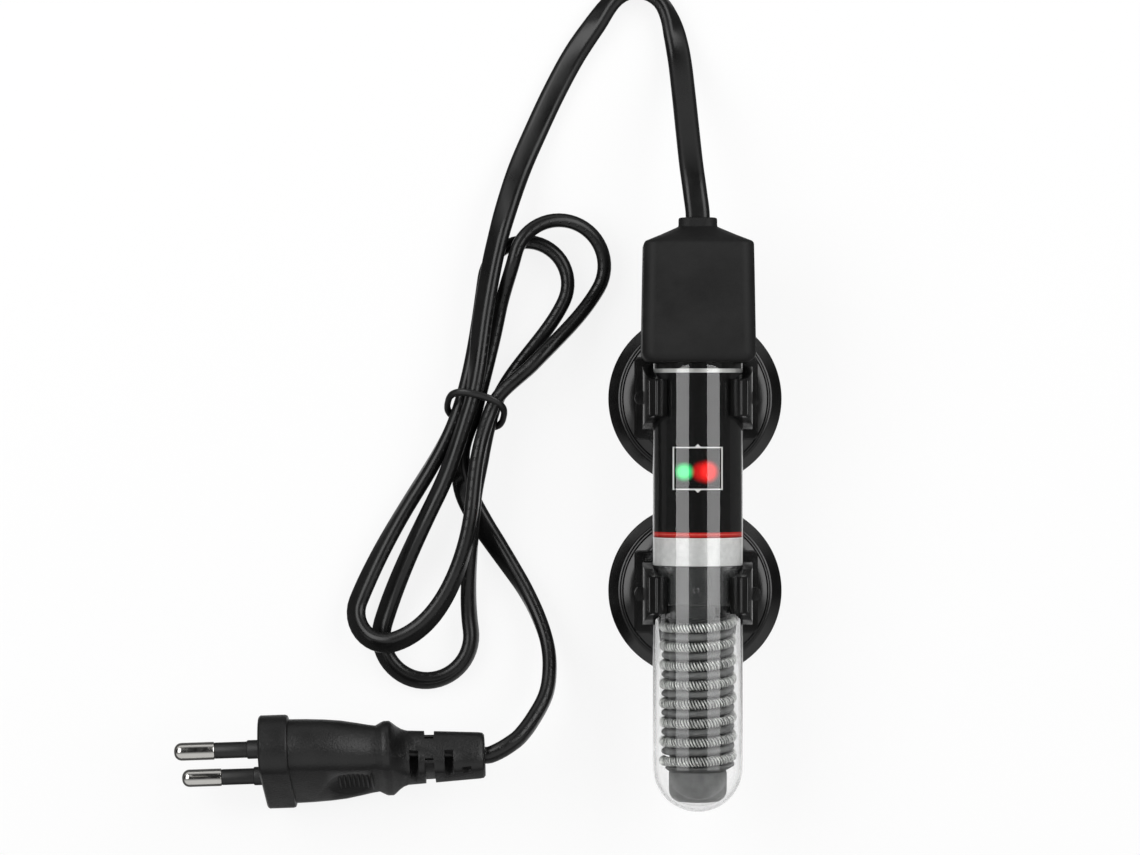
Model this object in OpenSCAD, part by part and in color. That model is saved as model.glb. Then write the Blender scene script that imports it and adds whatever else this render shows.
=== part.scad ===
/* [Glass tube] */
// Outside diameter of the glass tube
tube_od = 20; // [18:0.5:24]
// Wall of the glass tube
tube_wall = 0.8; // [0.6:0.1:1.2]
// Air between the heating element's foot and the round tip
tip_room = 1.8; // [1.5:0.1:6]

/* [Rubber cap] */
// Width and depth of the square cap
cap_w = 25; // [24:0.5:30]
// Length of the cap's straight body
cap_body_l = 26.5; // [24:0.5:34]
// Radius of the cap's long corners
cap_corner_r = 3; // [1.5:0.25:3.5]
// Height of the sloping shoulder
shoulder_h = 3.6; // [2.5:0.1:5]
// Length of glass tube held inside the cap
tube_grip_l = 18; // [14:0.5:20]
// Width of the collar round the cord
collar_w = 8.6; // [8:0.1:11]
// Depth of the collar round the cord
collar_d = 6.4; // [5.5:0.1:8]
// Height of the collar round the cord
collar_h = 2.1; // [1.5:0.1:4]
// Thickness of the sealing ring's section
seal_d = 1.6; // [1.2:0.1:1.8]
// Length of the rubber stopper inside the tube's mouth
stopper_l = 5.8; // [4:0.2:8]
// Thickness of the stopper's flange on the tube's rim
stopper_flange_t = 1.6; // [1:0.1:2]
// Length of the clamp that holds the cord in the cap
grip_l = 2.6; // [2:0.1:3]

/* [Supply cord] */
// Width of the flat cord
cord_w = 5.4; // [5:0.1:5.6]
// Thickness of the flat cord
cord_t = 3.1; // [2.8:0.1:3.2]
// Diameter of one insulated core
core_wire_d = 1.9; // [1.5:0.1:2.2]
// Wall of the tie round the hank
tie_t = 1; // [0.8:0.1:1.4]
// Width of the tie's band
tie_w = 1.5; // [1:0.1:2.5]

/* [Label] */
// Length of the label sleeve
label_l = 46; // [40:0.5:48]
// Thickness of the label sleeve
label_t = 0.25; // [0.2:0.05:0.4]
// Width of the window in the label
window_w = 10; // [8:0.5:12]
// Length of the window in the label
window_l = 8.6; // [7:0.2:10]

/* [Circuit board] */
// Width of the circuit board
board_w = 14; // [10:0.5:15]
// Length of the circuit board
board_l = 42; // [36:0.5:44]
// Thickness of the circuit board
board_t = 1.6; // [1:0.2:2]
// Diameter of the green lamp
green_d = 3; // [2:0.5:3]
// Diameter of the red lamp
red_d = 4.8; // [3:0.2:5]
// Distance between the lamps
lamp_pitch = 4.6; // [4.6:0.1:5.6]
// Room between the red lamp's dome and the glass
lamp_room = 0.4; // [0.3:0.05:1]
// Diameter of a resistor's body
resistor_d = 2.2; // [1.6:0.1:2.6]
// Length of a resistor's body
resistor_l = 6; // [4:0.5:7]

/* [Thermostat] */
// Width of the thermostat's steel frame
frame_w = 8; // [7.6:0.2:9]
// Thickness of the thermostat's steel frame
frame_t = 0.8; // [0.6:0.1:1]
// Width of the bimetal blade
blade_w = 5; // [3:0.5:5.5]
// Free length of the bimetal blade
blade_l = 24; // [20:0.5:26]
// Thickness of the bimetal blade
blade_t = 0.45; // [0.3:0.05:0.6]
// Diameter of each contact
contact_d = 2.4; // [1.6:0.2:3]
// Height of each contact
contact_h = 0.7; // [0.5:0.1:0.8]
// Diameter of the setting screw's shank
screw_d = 1.6; // [1.2:0.2:2]
// Length of the foot that the blade is riveted to
blade_foot_l = 4; // [3:0.2:5]
// Width of the bridge that carries the setting screw
bridge_w = 4; // [3:0.2:5]

/* [Heating element] */
// Room between the element holder and the glass
holder_room = 0.2; // [0.1:0.05:0.5]
// Length of the holder's wide part
holder_l = 8.6; // [7:0.2:10]
// Width of the step at the holder's nose
nose_step = 0.8; // [0.4:0.1:1.5]
// Length of the holder's stepped nose
nose_l = 3.2; // [2:0.2:4]
// Room between the ceramic core's plain foot and the glass
foot_room = 2.75; // [2.2:0.1:3.2]
// Length of the ceramic core's plain foot
core_foot_l = 6.4; // [4:0.2:6.4]
// Radius of the foot's lower edge
core_foot_r = 2; // [2:0.1:3]
// Room between the winding and the glass
coil_room = 0.5; // [0.2:0.05:0.8]
// Air between the winding and the ceramic core under it
root_room = 0.8; // [0.8:0.1:2]
// Diameter of the wound heating wire
coil_wire_d = 2.2; // [1.6:0.1:2.3]
// Distance from turn to turn of the winding
coil_pitch = 4.2; // [4:0.05:4.3]
// Number of whole turns of the winding, which has a half turn more
coil_turns = 7; // [5:1:7]
// Diameter of the round thread between the turns
thread_d = 1.5; // [1:0.1:1.7]
// Diameter of a lead to the heating wire
lead_d = 1.4; // [1:0.1:1.6]
// Diameter of the terminal that joins a lead to the winding
terminal_d = 1.2; // [0.8:0.1:1.4]

/* [Tube brackets] */
// Distance from the cap to the upper bracket's middle
upper_drop = 7.8; // [7.8:0.1:9.8]
// Distance between the middles of the brackets
bracket_pitch = 43.6; // [42:0.2:46]
// Width of the bracket's plate
plate_w = 27.8; // [26:0.2:32]
// Length of the bracket's plate along the tube
plate_l = 18.6; // [16:0.2:18.6]
// Thickness of the bracket's plate
plate_t = 2; // [1.6:0.1:3]
// Wall of the clip round the tube
clip_wall = 2.14; // [1.6:0.02:2.6]
// Length of the clip along the tube where it leaves the plate
clip_l = 14; // [12:0.5:14]
// Length of the clip along the tube at its lips
lip_l = 8.2; // [6:0.2:10]
// Angle of the clip's mouth
mouth_angle = 88; // [70:2:110]
// Clear width between the clip's legs
leg_gap = 16; // [13:0.5:17]
// Reach of the small tab beside the clip
tab_reach = 1.9; // [1:0.1:2.5]
// Thickness of the small tab beside the clip
tab_l = 2.9; // [2:0.1:4]

/* [Suction cups] */
// Diameter of a suction cup's rim
cup_d = 39.4; // [36:0.2:40]
// Height of a suction cup from its rim to the bracket
cup_h = 7.9; // [7:0.1:10]
// Diameter of the raised disc on the cup's back
hub_d = 27.2; // [24:0.2:30]
// Diameter of the cup's neck through the bracket
neck_d = 6; // [5:0.2:7]
// Diameter of the cup's button in front of the bracket
button_d = 9; // [8:0.2:10]
// Height of the cup's button
button_h = 2.2; // [1.6:0.1:2.4]
// Depth of the hollow under the cup
hollow_h = 3.4; // [2:0.1:3.8]
// Width of the flat seat under the rim
seat_w = 1.6; // [1:0.1:2.4]

/* [Plug] */
// Width of the plug's flange
flange_w = 35.3; // [33:0.1:37]
// Thickness of the plug's flange section
flange_t = 13.7; // [13:0.1:16]
// Length of the plug's flange along its pins
flange_l = 6.6; // [5:0.1:8]
// Length of the plug's moulded body behind the flange
plug_body_l = 24.6; // [22:0.2:30]
// Length of the slotted strain relief
relief_l = 18.4; // [14:0.2:20]
// Diameter of a plug pin
pin_d = 4; // [4:0.05:4.8]
// Length of a plug pin from the flange's face
pin_l = 19; // [19:0.5:20]
// Distance between the pins
pin_pitch = 19; // [18:0.1:19.2]
// Length of the sleeve on a pin
sleeve_l = 10; // [8:0.5:11]
// Diameter of the sleeve on a pin
sleeve_d = 3.6; // [3.4:0.05:3.8]
// Diameter of the collar at a pin's root
root_d = 4.2; // [4.2:0.1:5.4]
// Length of the collar at a pin's root
root_l = 2.8; // [2:0.1:4]

/* [Hidden] */
$fn = 72;
running_fit = 0.06;     // radial room of a part that slides or spins
slip_fit = 0.05;        // radial room of a part that is pushed in
eps = 0.5;              // how far a cut runs past the face that it opens

// Heights along the tube, measured from the middle of the heater
tube_r = tube_od/2;
tube_ir = tube_r - tube_wall;
label_tuck = 1;         // length of label hidden in the cap
part_gap = 0.1;         // between two parts that stand end to end in the tube
coil_lap = 0.5;         // the winding starts this far up in the notch of the holder's nose
foot_lead_in = 0.7;     // bare core below the winding
winding_turns = coil_turns + 0.5;   // it starts at the right lead and ends at the left one
coil_len = winding_turns*coil_pitch;
element_l = holder_l + nose_l - coil_lap + coil_wire_d + coil_len + foot_lead_in + core_foot_l;
tube_l = tube_grip_l + label_l - label_tuck + part_gap + element_l + tip_room + tube_wall;
overall_l = tube_l - tube_grip_l + cap_body_l + shoulder_h + collar_h;
tip_y = -overall_l/2;
mouth_y = tip_y + tube_l;
cap_y = mouth_y - tube_grip_l;
upper_y = cap_y - upper_drop;
lower_y = upper_y - bracket_pitch;
shoulder_y = cap_y + cap_body_l;
collar_y = shoulder_y + shoulder_h;
top_y = collar_y + collar_h;

// Heights above the wall or floor that the suction cups hold
plate_z = cup_h + 2*slip_fit;
plate_top = plate_z + plate_t;
button_room = 0.7;      // air between the button and the glass
axis_h = plate_top + button_h + button_room + tube_r + 2*slip_fit;

// Parts inside the cap
seal_y = cap_y + 4;
seal_ring_r = tube_r + seal_d/2;
grip_y = shoulder_y - grip_l - 0.4;
cavity_r = tube_ir - 1.6;
stopper_top = mouth_y + stopper_flange_t;
core_gap = cord_w - cord_t;     // centre to centre of the cores in the cord
core_spread = 4.4;              // centre to centre of the cores at the board

// Label, board and lamps
label_r = tube_ir - slip_fit;
label_ir = label_r - label_t;
label_top = cap_y + label_tuck;
label_y = label_top - label_l;
board_front = -1;               // front face of the board, from the tube's axis
board_back = board_front - board_t;
board_rise = 7.2;               // from the label's lower end to the board
window_rise = 21.5;             // and to the middle of the window
board_y = label_y + board_rise;
window_y = label_y + window_rise;
lamp_y = window_y - 1;
green_x = -3.3;
red_x = green_x + lamp_pitch;
lamp_top = tube_ir - lamp_room - red_d/2;   // where the lamps' domes begin to close
lamp_leg_d = 0.6;

// Thermostat on the back of the board, blade hinged at its riveted end
frame_rise = 12;                // from the board's lower end to the frame
blade_past = 1;                 // the blade's foot starts this far before its free length ends
frame_end = 0.4;                // bare frame past the blade's foot
frame_y = board_y + frame_rise;
blade_root = frame_y + blade_l + blade_foot_l - blade_past;
frame_l = blade_root - frame_y + frame_end;
frame_back = board_back - frame_t;
blade_front = frame_back - 2*contact_h - slip_fit - 0.05;
blade_back = blade_front - blade_t;
magnet_pitch = 4;
screw_pitch = 9.6;              // from the contacts to the setting screw's bridge
contact_y = blade_root - blade_l + contact_d;
magnet_y = contact_y + magnet_pitch;
stop_y = contact_y + screw_pitch;
stop_gap = 0.56;                // air between the screw's tip and the blade
bridge_t = 0.8;
bridge_back = blade_back - stop_gap - 1.1;

// Heating element
holder_d = 2*(tube_ir - holder_room);
nose_d = holder_d - 2*nose_step;
holder_y = label_y - holder_l - part_gap;
nose_y = holder_y - nose_l;
coil_r = tube_ir - coil_room - coil_wire_d/2;
coil_top = nose_y + coil_lap - coil_wire_d/2;
notch_room = 0.3;       // room between the winding and the notch
notch_roof = 0.4;       // the nose above the notch
curl_rings = 8;
core_foot_d = 2*(tube_ir - foot_room);
core_root_d = 2*coil_r - coil_wire_d - 2*root_room;
thread_r = core_foot_d/2 + 0.3 + thread_d/2;
coil_end = coil_top - coil_len;
foot_y = coil_end - coil_wire_d/2 - foot_lead_in;
lead_x = 3.4;
lead_z = board_front + lead_d/2;    // both leads lie on the board's front face
lead_past = 0.8;                    // a lead runs this far past its terminal

// Clip on the tube
bore_r = tube_r + running_fit;
clip_r = bore_r + clip_wall;
lip_step = (clip_l - lip_l)/2;  // how much each end of the clip narrows towards the lips

// The supply cord, its hank and the plug, laid on the same surface
plug_turn = 1.9;                // turn of the plug's length from the X axis
plug_lean = -22.5;              // lean of the plug's width from upright
function half_round(d) = d/2 - 0.6;
flange_r = half_round(flange_t);
plug_h = (flange_w/2 - flange_r)*cos(plug_lean) + (flange_t/2 - flange_r)*abs(sin(plug_lean))
    + flange_r;
plug_face = [-97, -55.5, plug_h];   // middle of the flange's face
relief_x = flange_l + plug_body_l;
plug_l = relief_x + relief_l;
// Every point is [x, y, z, roll]: roll 0 stands the flat cord on its edge, 90 lays it flat
lead_route = [
    [0, top_y, axis_h, 90], [-0.6, top_y + 5.5, axis_h - 0.1, 90], [-1.4, 78, 20.5, 90],
    [-2.1, 86, 15.5, 90], [-2.8, 94.5, 9.5, 90], [-3.6, 102.5, 4.7, 84], [-4.7, 108.5, 2.9, 60],
    [-6, 112.7, 2.9, 30], [-8, 116, 2.9, 14], [-11.4, 118, 2.9, 10], [-15.4, 118, 2.9, 14],
    [-18.8, 116, 2.9, 30], [-22.6, 111, 2.4, 60], [-27.4, 104, 1.8, 78], [-32, 95.5, 1.7, 82],
    [-36.2, 86.5, 2.2, 80], [-39.8, 78, 4, 74], [-42.6, 69.5, 6.8, 62], [-44.8, 61.5, 8.3, 46]];
tail_route = [
    [-48.6, -2, 1.9, 72], [-45, -7.5, 2.3, 52], [-42, -12, 2.8, 34], [-38.5, -17.5, 3.3, 16],
    [-35.5, -23.5, 4.6, 6], [-33.5, -29.5, 6.8, 0], [-33, -35, 9.4, -4], [-33.8, -40.5, 11.9, -9],
    [-36.6, -45.8, 14.4, -14], [-39.7, -49.8, 16.3, -18], [-42.4, -51.8, 17.1, -21],
    [-44.5, -53, 17.2, -22], plug_point([plug_l + 1, 0, 0], plug_lean),
    plug_point([plug_l, 0, 0], plug_lean)];
lead_end_dir = -104;            // the lead runs on into the hank in this direction
tail_start_dir = -60;           // and the hank into the tail in this one
lower_layer = 3.9;              // height of the hank's lower strands at the tie
upper_layer = 9.9;              // height of its upper strands there
tie_at = [-49.7, 23.4];
// A stop is [x, y, z, roll, direction], a bend [x, y, radius, from, to, z, end z, roll, end roll]
hank_plan = [
    [-44.8, 61.5, 8.3, 46, -104], [-48, 44.5, 9.2, 40, -99],
    [-51.2, 23.4, upper_layer, 8, -108], [-58.4, 4, 8.6, 20, -116],
    [-61, -27.8, 10.2, 163, 368, 2.7, 2.7, 36, 14],
    [-50, 2, 6.9, 0, 86], [-48.2, 12.5, 6.8, 0, 80], [-45.7, 23.4, lower_layer, 0, 72],
    [-38.4, 52, 9.5, -25, 172, 2.8, 2.8, 0, 0],
    [-53.6, 23.4, lower_layer, 0, -108], [-63.8, 4, 3.4, 14, -122],
    [-70, -22.4, 6.8, 158, 288, 4.8, 9.1, 34, 42],
    [-50.4, 2, 12.9, 4, 84], [-49.2, 12.5, 12.8, 2, 80], [-46.2, 23.4, upper_layer, 0, 70],
    [-36.6, 33.8, 9.6, 4, 46],
    [-30.8, 56, 10.2, -30, 166, 2.8, 9, 2, 0],
    [-44.4, 45.5, 3.4, 0, -101], [-49.65, 23.4, lower_layer, 0, -104],
    [-52.9, 13, 3, 14, -92], [-51.9, 4.5, 1.7, 86, -72], [-48.6, -2, 1.9, 72, -60]];
run_step = 7;                   // distance between rings on a hank's runs
bend_rings = 10;

function plug_point(p, roll) = let (
    a = [p.x, p.y*cos(plug_lean) - p.z*sin(plug_lean), p.y*sin(plug_lean) + p.z*cos(plug_lean)])
    [plug_face.x + a.x*cos(plug_turn) - a.y*sin(plug_turn),
     plug_face.y + a.x*sin(plug_turn) + a.y*cos(plug_turn), plug_face.z + a.z, roll];
function spot(p) = [p.x, p.y, p.z];
function unit(v) = v/norm(v);
function heading(a) = [cos(a), sin(a), 0];
function eased(t) = t*t*(3 - 2*t);

// One run between two stops or bends: a cubic curve in plan, eased in height and roll
function run_point(p, q, t) = let (
    c = norm([q.x - p.x, q.y - p.y]), e = eased(t),
    a = (2*t*t*t - 3*t*t + 1)*spot(p) + e*spot(q)
        + c*(t*t*t - 2*t*t + t)*heading(p[4]) + c*(t*t*t - t*t)*heading(q[4]))
    [a.x, a.y, p.z + (q.z - p.z)*e, p[3] + (q[3] - p[3])*e];
function run_rings(p, q) = let (n = max(2, round(norm([q.x - p.x, q.y - p.y])/run_step)))
    [for (i = [0:n - 1]) run_point(p, q, i/n)];
function is_bend(e) = len(e) == 9;
function bend_point(e, t) = let (a = e[3] + (e[4] - e[3])*t)
    [e.x + e[2]*cos(a), e.y + e[2]*sin(a), e[5] + (e[6] - e[5])*eased(t),
     e[7] + (e[8] - e[7])*eased(t), a + 90];
function bend_rings_of(e) = [for (i = [0:bend_rings - 1]) let (p = bend_point(e, i/bend_rings))
    [p.x, p.y, p.z, p[3]]];
function entry(e) = is_bend(e) ? bend_point(e, 0) : e;
function leave(e) = is_bend(e) ? bend_point(e, 1) : e;
hank_end = hank_plan[len(hank_plan) - 1];
hank_route = [
    for (k = [0:len(hank_plan) - 1]) each concat(
        is_bend(hank_plan[k]) ? bend_rings_of(hank_plan[k]) : [],
        k < len(hank_plan) - 1 ? run_rings(leave(hank_plan[k]), entry(hank_plan[k + 1])) : []),
    [hank_end.x, hank_end.y, hank_end.z, hank_end[3]]];

// Sections of the flat cord and of a round wire, as [across the width, across the thickness]
flat_six = [for (s = [1, -1]) each [
    [s*cord_w/2, 0], [s*(cord_w - cord_t)/2, s*cord_t/2], [-s*(cord_w - cord_t)/2, s*cord_t/2]]];
flat_eight = [for (s = [1, -1]) each [
    [s*cord_w/2, -s*cord_t/5], [s*cord_w/2, s*cord_t/5],
    [s*(cord_w/2 - cord_t*0.3), s*cord_t/2], [-s*(cord_w/2 - cord_t*0.3), s*cord_t/2]]];
function round_section(d, n) = [for (k = [0:n - 1]) d/2*[cos(360*k/n), sin(360*k/n)]];

// Direction of a route at one of its points, and the two axes of the section there
function along(route, i, first, last) =
    i == 0 && first != undef ? first :
    i == len(route) - 1 && last != undef ? last :
    unit(spot(route[min(i + 1, len(route) - 1)]) - spot(route[max(i - 1, 0)]));
function level_axis(t) = unit(cross([0, 0, 1], t));
function width_axis(t, roll) = let (s = level_axis(t)) cos(roll)*cross(t, s) + sin(roll)*s;
function thin_axis(t, roll) = let (s = level_axis(t)) cos(roll)*s - sin(roll)*cross(t, s);
function ring_at(route, i, section, first, last) = let (
    t = along(route, i, first, last), roll = route[i][3],
    w = width_axis(t, roll), s = thin_axis(t, roll))
    [for (q = section) spot(route[i]) + q.x*w + q.y*s];

// One closed tube through a list of rings that all have the same number of points
module skin(rings) {
    n = len(rings[0]);
    m = len(rings);
    polyhedron(
        points = [for (r = rings) each r],
        faces = concat(
            [for (i = [1:n - 2]) [0, i, i + 1]],
            [for (i = [1:n - 2]) let (b = (m - 1)*n) [b, b + i + 1, b + i]],
            [for (j = [0:m - 2], i = [0:n - 1]) let (a = j*n, k = (i + 1)%n)
                [a + i, a + n + i, a + k]],
            [for (j = [0:m - 2], i = [0:n - 1]) let (a = j*n, k = (i + 1)%n)
                [a + k, a + n + i, a + n + k]]));
}
module swept(route, section, first = undef, last = undef)
    skin([for (i = [0:len(route) - 1]) ring_at(route, i, section, first, last)]);

// Least gap of the hank to itself, from the width and thickness that face each other
function arc_length(route) = [for (i = 0, s = 0; i < len(route);
    s = s + (i + 1 < len(route) ? norm(spot(route[i + 1]) - spot(route[i])) : 0), i = i + 1) s];
function reach(route, i, u) = cord_t/2
    + (cord_w - cord_t)/2*abs(width_axis(along(route, i), route[i][3])*u);
near_run = 14;                  // stretches closer than this along the cord are one bend
hank_at = arc_length(hank_route);
hank_gap = min([for (i = [0:len(hank_route) - 1], j = [i + 1:1:len(hank_route) - 1])
    if (hank_at[j] - hank_at[i] > near_run) let (
        d = spot(hank_route[j]) - spot(hank_route[i]), u = unit(d))
        norm(d) - reach(hank_route, i, u) - reach(hank_route, j, u)]);
coil_gap = coil_pitch - coil_wire_d;
cord_length = arc_length(lead_route)[len(lead_route) - 1] + hank_at[len(hank_at) - 1]
    + arc_length(tail_route)[len(tail_route) - 1];
echo(hank_least_gap = hank_gap, coil_least_gap = coil_gap, cord_length = cord_length);

// Placing: children stand on the tube's axis and point towards the cap
module on_axis(y) translate([0, y, axis_h]) rotate([-90, 0, 0]) children();
module in_tube() translate([0, 0, axis_h]) children();
module on_plug() translate(plug_face) rotate([0, 0, plug_turn]) rotate([plug_lean, 0, 0]) children();

// A bar of rounded-rectangle section from exact cylinders and blocks, standing on z = 0
module rounded_bar(w, d, h, r) {
    translate([-w/2 + r, -d/2, 0]) cube([w - 2*r, d, h]);
    translate([-w/2, -d/2 + r, 0]) cube([w, d - 2*r, h]);
    for (x = [-1, 1], y = [-1, 1])
        translate([x*(w/2 - r), y*(d/2 - r), 0]) cylinder(r = r, h = h);
}
module cord_slot(y, l, room = 0) on_axis(y)
    rounded_bar(cord_w + 2*room, cord_t + 2*room, l, cord_t/2 + room - 0.01);

module glass_tube() color([0.9, 0.94, 0.95, 0.4]) difference() {
    union() {
        on_axis(tip_y + tube_r) cylinder(r = tube_r, h = tube_l - tube_r);
        on_axis(tip_y + tube_r) sphere(r = tube_r);
    }
    on_axis(tip_y + tube_r) cylinder(r = tube_ir, h = tube_l);
    on_axis(tip_y + tube_r) sphere(r = tube_ir);
}

// The cap narrows a little towards its shoulder and rounds in at its lower edge
cap_flare = 0.25;
cap_edge_r = 2.2;
cap_slice = 0.2;
module cap_slab(w, d, r, y) on_axis(y) rounded_bar(w, d, cap_slice, r, $fn = 32);
module cap_shell() {
    hull() {
        for (i = [0:4]) let (
            a = 22.5*i, inset = cap_edge_r*(1 - sin(a)), up = cap_edge_r*(1 - cos(a)),
            w = cap_w + 2*cap_flare - 2*inset)
            cap_slab(w, w, max(cap_corner_r - inset*0.4, 1), cap_y + up);
        cap_slab(cap_w - 2*cap_flare, cap_w - 2*cap_flare, cap_corner_r, shoulder_y - cap_slice);
    }
    hull() {
        cap_slab(cap_w - 2*cap_flare, cap_w - 2*cap_flare, cap_corner_r, shoulder_y - cap_slice);
        cap_slab(collar_w + 0.8, collar_d + 0.8, 2, collar_y - cap_slice);
    }
    on_axis(collar_y - cap_slice)
        rounded_bar(collar_w, collar_d, collar_h + cap_slice, collar_d/2 - 0.4);
}
module rubber_cap() color([0.16, 0.16, 0.17]) difference() {
    cap_shell();
    on_axis(cap_y - eps) cylinder(r = tube_r + 0.02, h = stopper_top - cap_y + eps);
    on_axis(seal_y) cylinder(r = tube_r + seal_d, h = seal_d);
    on_axis(stopper_top - eps) cylinder(r = cavity_r, h = shoulder_y - stopper_top - 0.4 + eps);
    cord_slot(shoulder_y - eps - 0.4, top_y - shoulder_y + 2*eps + 0.4);
}

module seal_ring() color([0.45, 0.12, 0.1]) on_axis(seal_y + seal_d/2)
    rotate_extrude() translate([seal_ring_r, 0]) circle(d = seal_d - 2*slip_fit, $fn = 24);

module tube_stopper() color([0.3, 0.3, 0.32]) difference() {
    union() {
        on_axis(mouth_y - stopper_l) cylinder(r = tube_ir - slip_fit, h = stopper_l);
        on_axis(mouth_y) cylinder(r = tube_r - slip_fit, h = stopper_flange_t);
    }
    for (x = [-1, 1]) translate([x*core_spread/2, 0, board_front + core_wire_d/2])
        on_axis(mouth_y - stopper_l - eps)
            cylinder(d = core_wire_d + 2*slip_fit, h = stopper_l + stopper_flange_t + 2*eps);
}

module cord_grip() color([0.75, 0.74, 0.7]) difference() {
    on_axis(grip_y) cylinder(r = cavity_r - slip_fit, h = grip_l);
    cord_slot(grip_y - eps, grip_l + 2*eps);
    for (x = [-1, 1]) translate([x*cavity_r, 0, 0]) on_axis(grip_y - eps)
        cylinder(r = 1.6, h = grip_l + 2*eps);
}

module inlet_cord() color([0.12, 0.12, 0.12]) cord_slot(grip_y - 0.8, top_y - grip_y + 0.8, -0.02);

module supply_cores() {
    z = axis_h + board_front + core_wire_d/2;
    start = grip_y - 0.85;
    for (s = [-1, 1]) color(s > 0 ? [0.45, 0.25, 0.12] : [0.15, 0.3, 0.65])
        swept([[s*core_gap/2, start, axis_h, 0], [s*core_gap/2, start - 0.3, axis_h, 0],
               [s*core_spread/2, stopper_top + 0.3, z, 0], [s*core_spread/2, stopper_top - 0.6, z, 0],
               [s*core_spread/2, board_y + board_l - 3, z, 0]],
              round_section(core_wire_d, 10), [0, -1, 0], [0, -1, 0]);
}

module label_sleeve() color([0.07, 0.07, 0.07]) difference() {
    on_axis(label_y) cylinder(r = label_r, h = label_l);
    on_axis(label_y - eps) cylinder(r = label_ir, h = label_l + 2*eps);
    translate([-window_w/2, window_y - window_l/2, axis_h]) cube([window_w, window_l, tube_r]);
}

module circuit_board() color([0.1, 0.35, 0.2]) in_tube()
    translate([-board_w/2, board_y, board_back]) cube([board_w, board_l, board_t]);

module lamp(x, d) translate([x, lamp_y, 0]) in_tube() {
    base = lamp_top - d*1.3;
    translate([0, 0, base]) cylinder(d = d + 0.5, h = 0.8);
    translate([0, 0, base]) cylinder(d = d, h = lamp_top - base);
    translate([0, 0, lamp_top]) intersection() {
        sphere(d = d);
        cylinder(d = d, h = d);
    }
    for (s = [-1, 1]) translate([0, s*d/4, board_front])
        cylinder(d = lamp_leg_d, h = base - board_front, $fn = 16);
}
module green_lamp() color([0.2, 0.85, 0.4]) lamp(green_x, green_d);
module red_lamp() color([0.9, 0.15, 0.12]) lamp(red_x, red_d);

module resistor(y) translate([0, y, axis_h + board_front + resistor_d/2 + 0.1]) {
    rotate([0, 90, 0]) translate([0, 0, -resistor_l/2]) cylinder(d = resistor_d, h = resistor_l);
    for (s = [-1, 1]) {
        rotate([0, 90*s, 0]) cylinder(d = lamp_leg_d, h = resistor_l/2 + 1.6, $fn = 16);
        translate([s*(resistor_l/2 + 1.3), 0, -resistor_d/2 - 0.1])
            cylinder(d = lamp_leg_d, h = resistor_d/2 + 0.1, $fn = 16);
    }
}
module lamp_resistors() color([0.8, 0.7, 0.5]) for (i = [0, 1]) resistor(lamp_y + 9 + 4*i);

module thermostat_frame() color([0.65, 0.66, 0.68]) in_tube() difference() {
    union() {
        translate([-frame_w/2, frame_y, frame_back]) cube([frame_w, frame_l, frame_t]);
        translate([-blade_w/2, blade_root - blade_foot_l, blade_front + slip_fit])
            cube([blade_w, blade_foot_l + frame_end, frame_back - blade_front]);
        for (s = [-1, 1])
            translate([s*(frame_w - bridge_t)/2 - bridge_t/2, stop_y - bridge_w/2, bridge_back])
                cube([bridge_t, bridge_w, frame_back - bridge_back + frame_t/2]);
        translate([-frame_w/2, stop_y - bridge_w/2, bridge_back]) cube([frame_w, bridge_w, bridge_t]);
    }
    translate([0, stop_y, bridge_back - eps]) cylinder(d = screw_d + 2*slip_fit, h = 2*eps + bridge_t);
}

module fixed_contact() color([0.85, 0.85, 0.8]) in_tube()
    translate([0, contact_y, frame_back - contact_h]) cylinder(d = contact_d, h = contact_h);

module snap_magnet() color([0.3, 0.3, 0.33]) in_tube()
    translate([-blade_w/2, magnet_y - 1.2, blade_front + 0.3])
        cube([blade_w, 2.4, frame_back - blade_front - 0.3]);

module setting_screw() color([0.75, 0.7, 0.45]) in_tube() translate([0, stop_y, 0]) {
    translate([0, 0, bridge_back - 0.1]) cylinder(d = screw_d, h = blade_back - stop_gap - bridge_back + 0.1);
    translate([0, 0, bridge_back - 0.7]) difference() {
        cylinder(d = screw_d + 1.2, h = 0.65);
        translate([-screw_d, -0.2, -eps]) cube([2*screw_d, 0.4, 0.3 + eps]);
    }
}

module bimetal_blade() color([0.72, 0.6, 0.45]) in_tube() difference() {
    translate([-blade_w/2, blade_root - blade_l, blade_back]) cube([blade_w, blade_l, blade_t]);
    translate([0, contact_y, blade_back - eps]) cylinder(d = contact_d/2 + 2*slip_fit, h = blade_t + 2*eps);
}

module moving_contact() color([0.85, 0.85, 0.8]) in_tube() translate([0, contact_y, 0]) {
    translate([0, 0, blade_front]) cylinder(d = contact_d, h = contact_h);
    translate([0, 0, blade_back - 0.2]) cylinder(d = contact_d/2, h = blade_t + 0.3);
}

module element_holder() color([0.13, 0.13, 0.13]) difference() {
    union() {
        on_axis(holder_y) cylinder(d = holder_d, h = holder_l);
        on_axis(nose_y) cylinder(d = nose_d, h = nose_l);
    }
    for (s = [-1, 1]) translate([s*lead_x, 0, lead_z]) on_axis(nose_y - eps)
        cylinder(d = lead_d + 2*slip_fit, h = nose_l + holder_l + 2*eps);
    translate([lead_x, nose_y - eps, axis_h - coil_wire_d/2 - notch_room])
        cube([holder_d, nose_l - notch_roof + eps, holder_d]);
}

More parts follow.
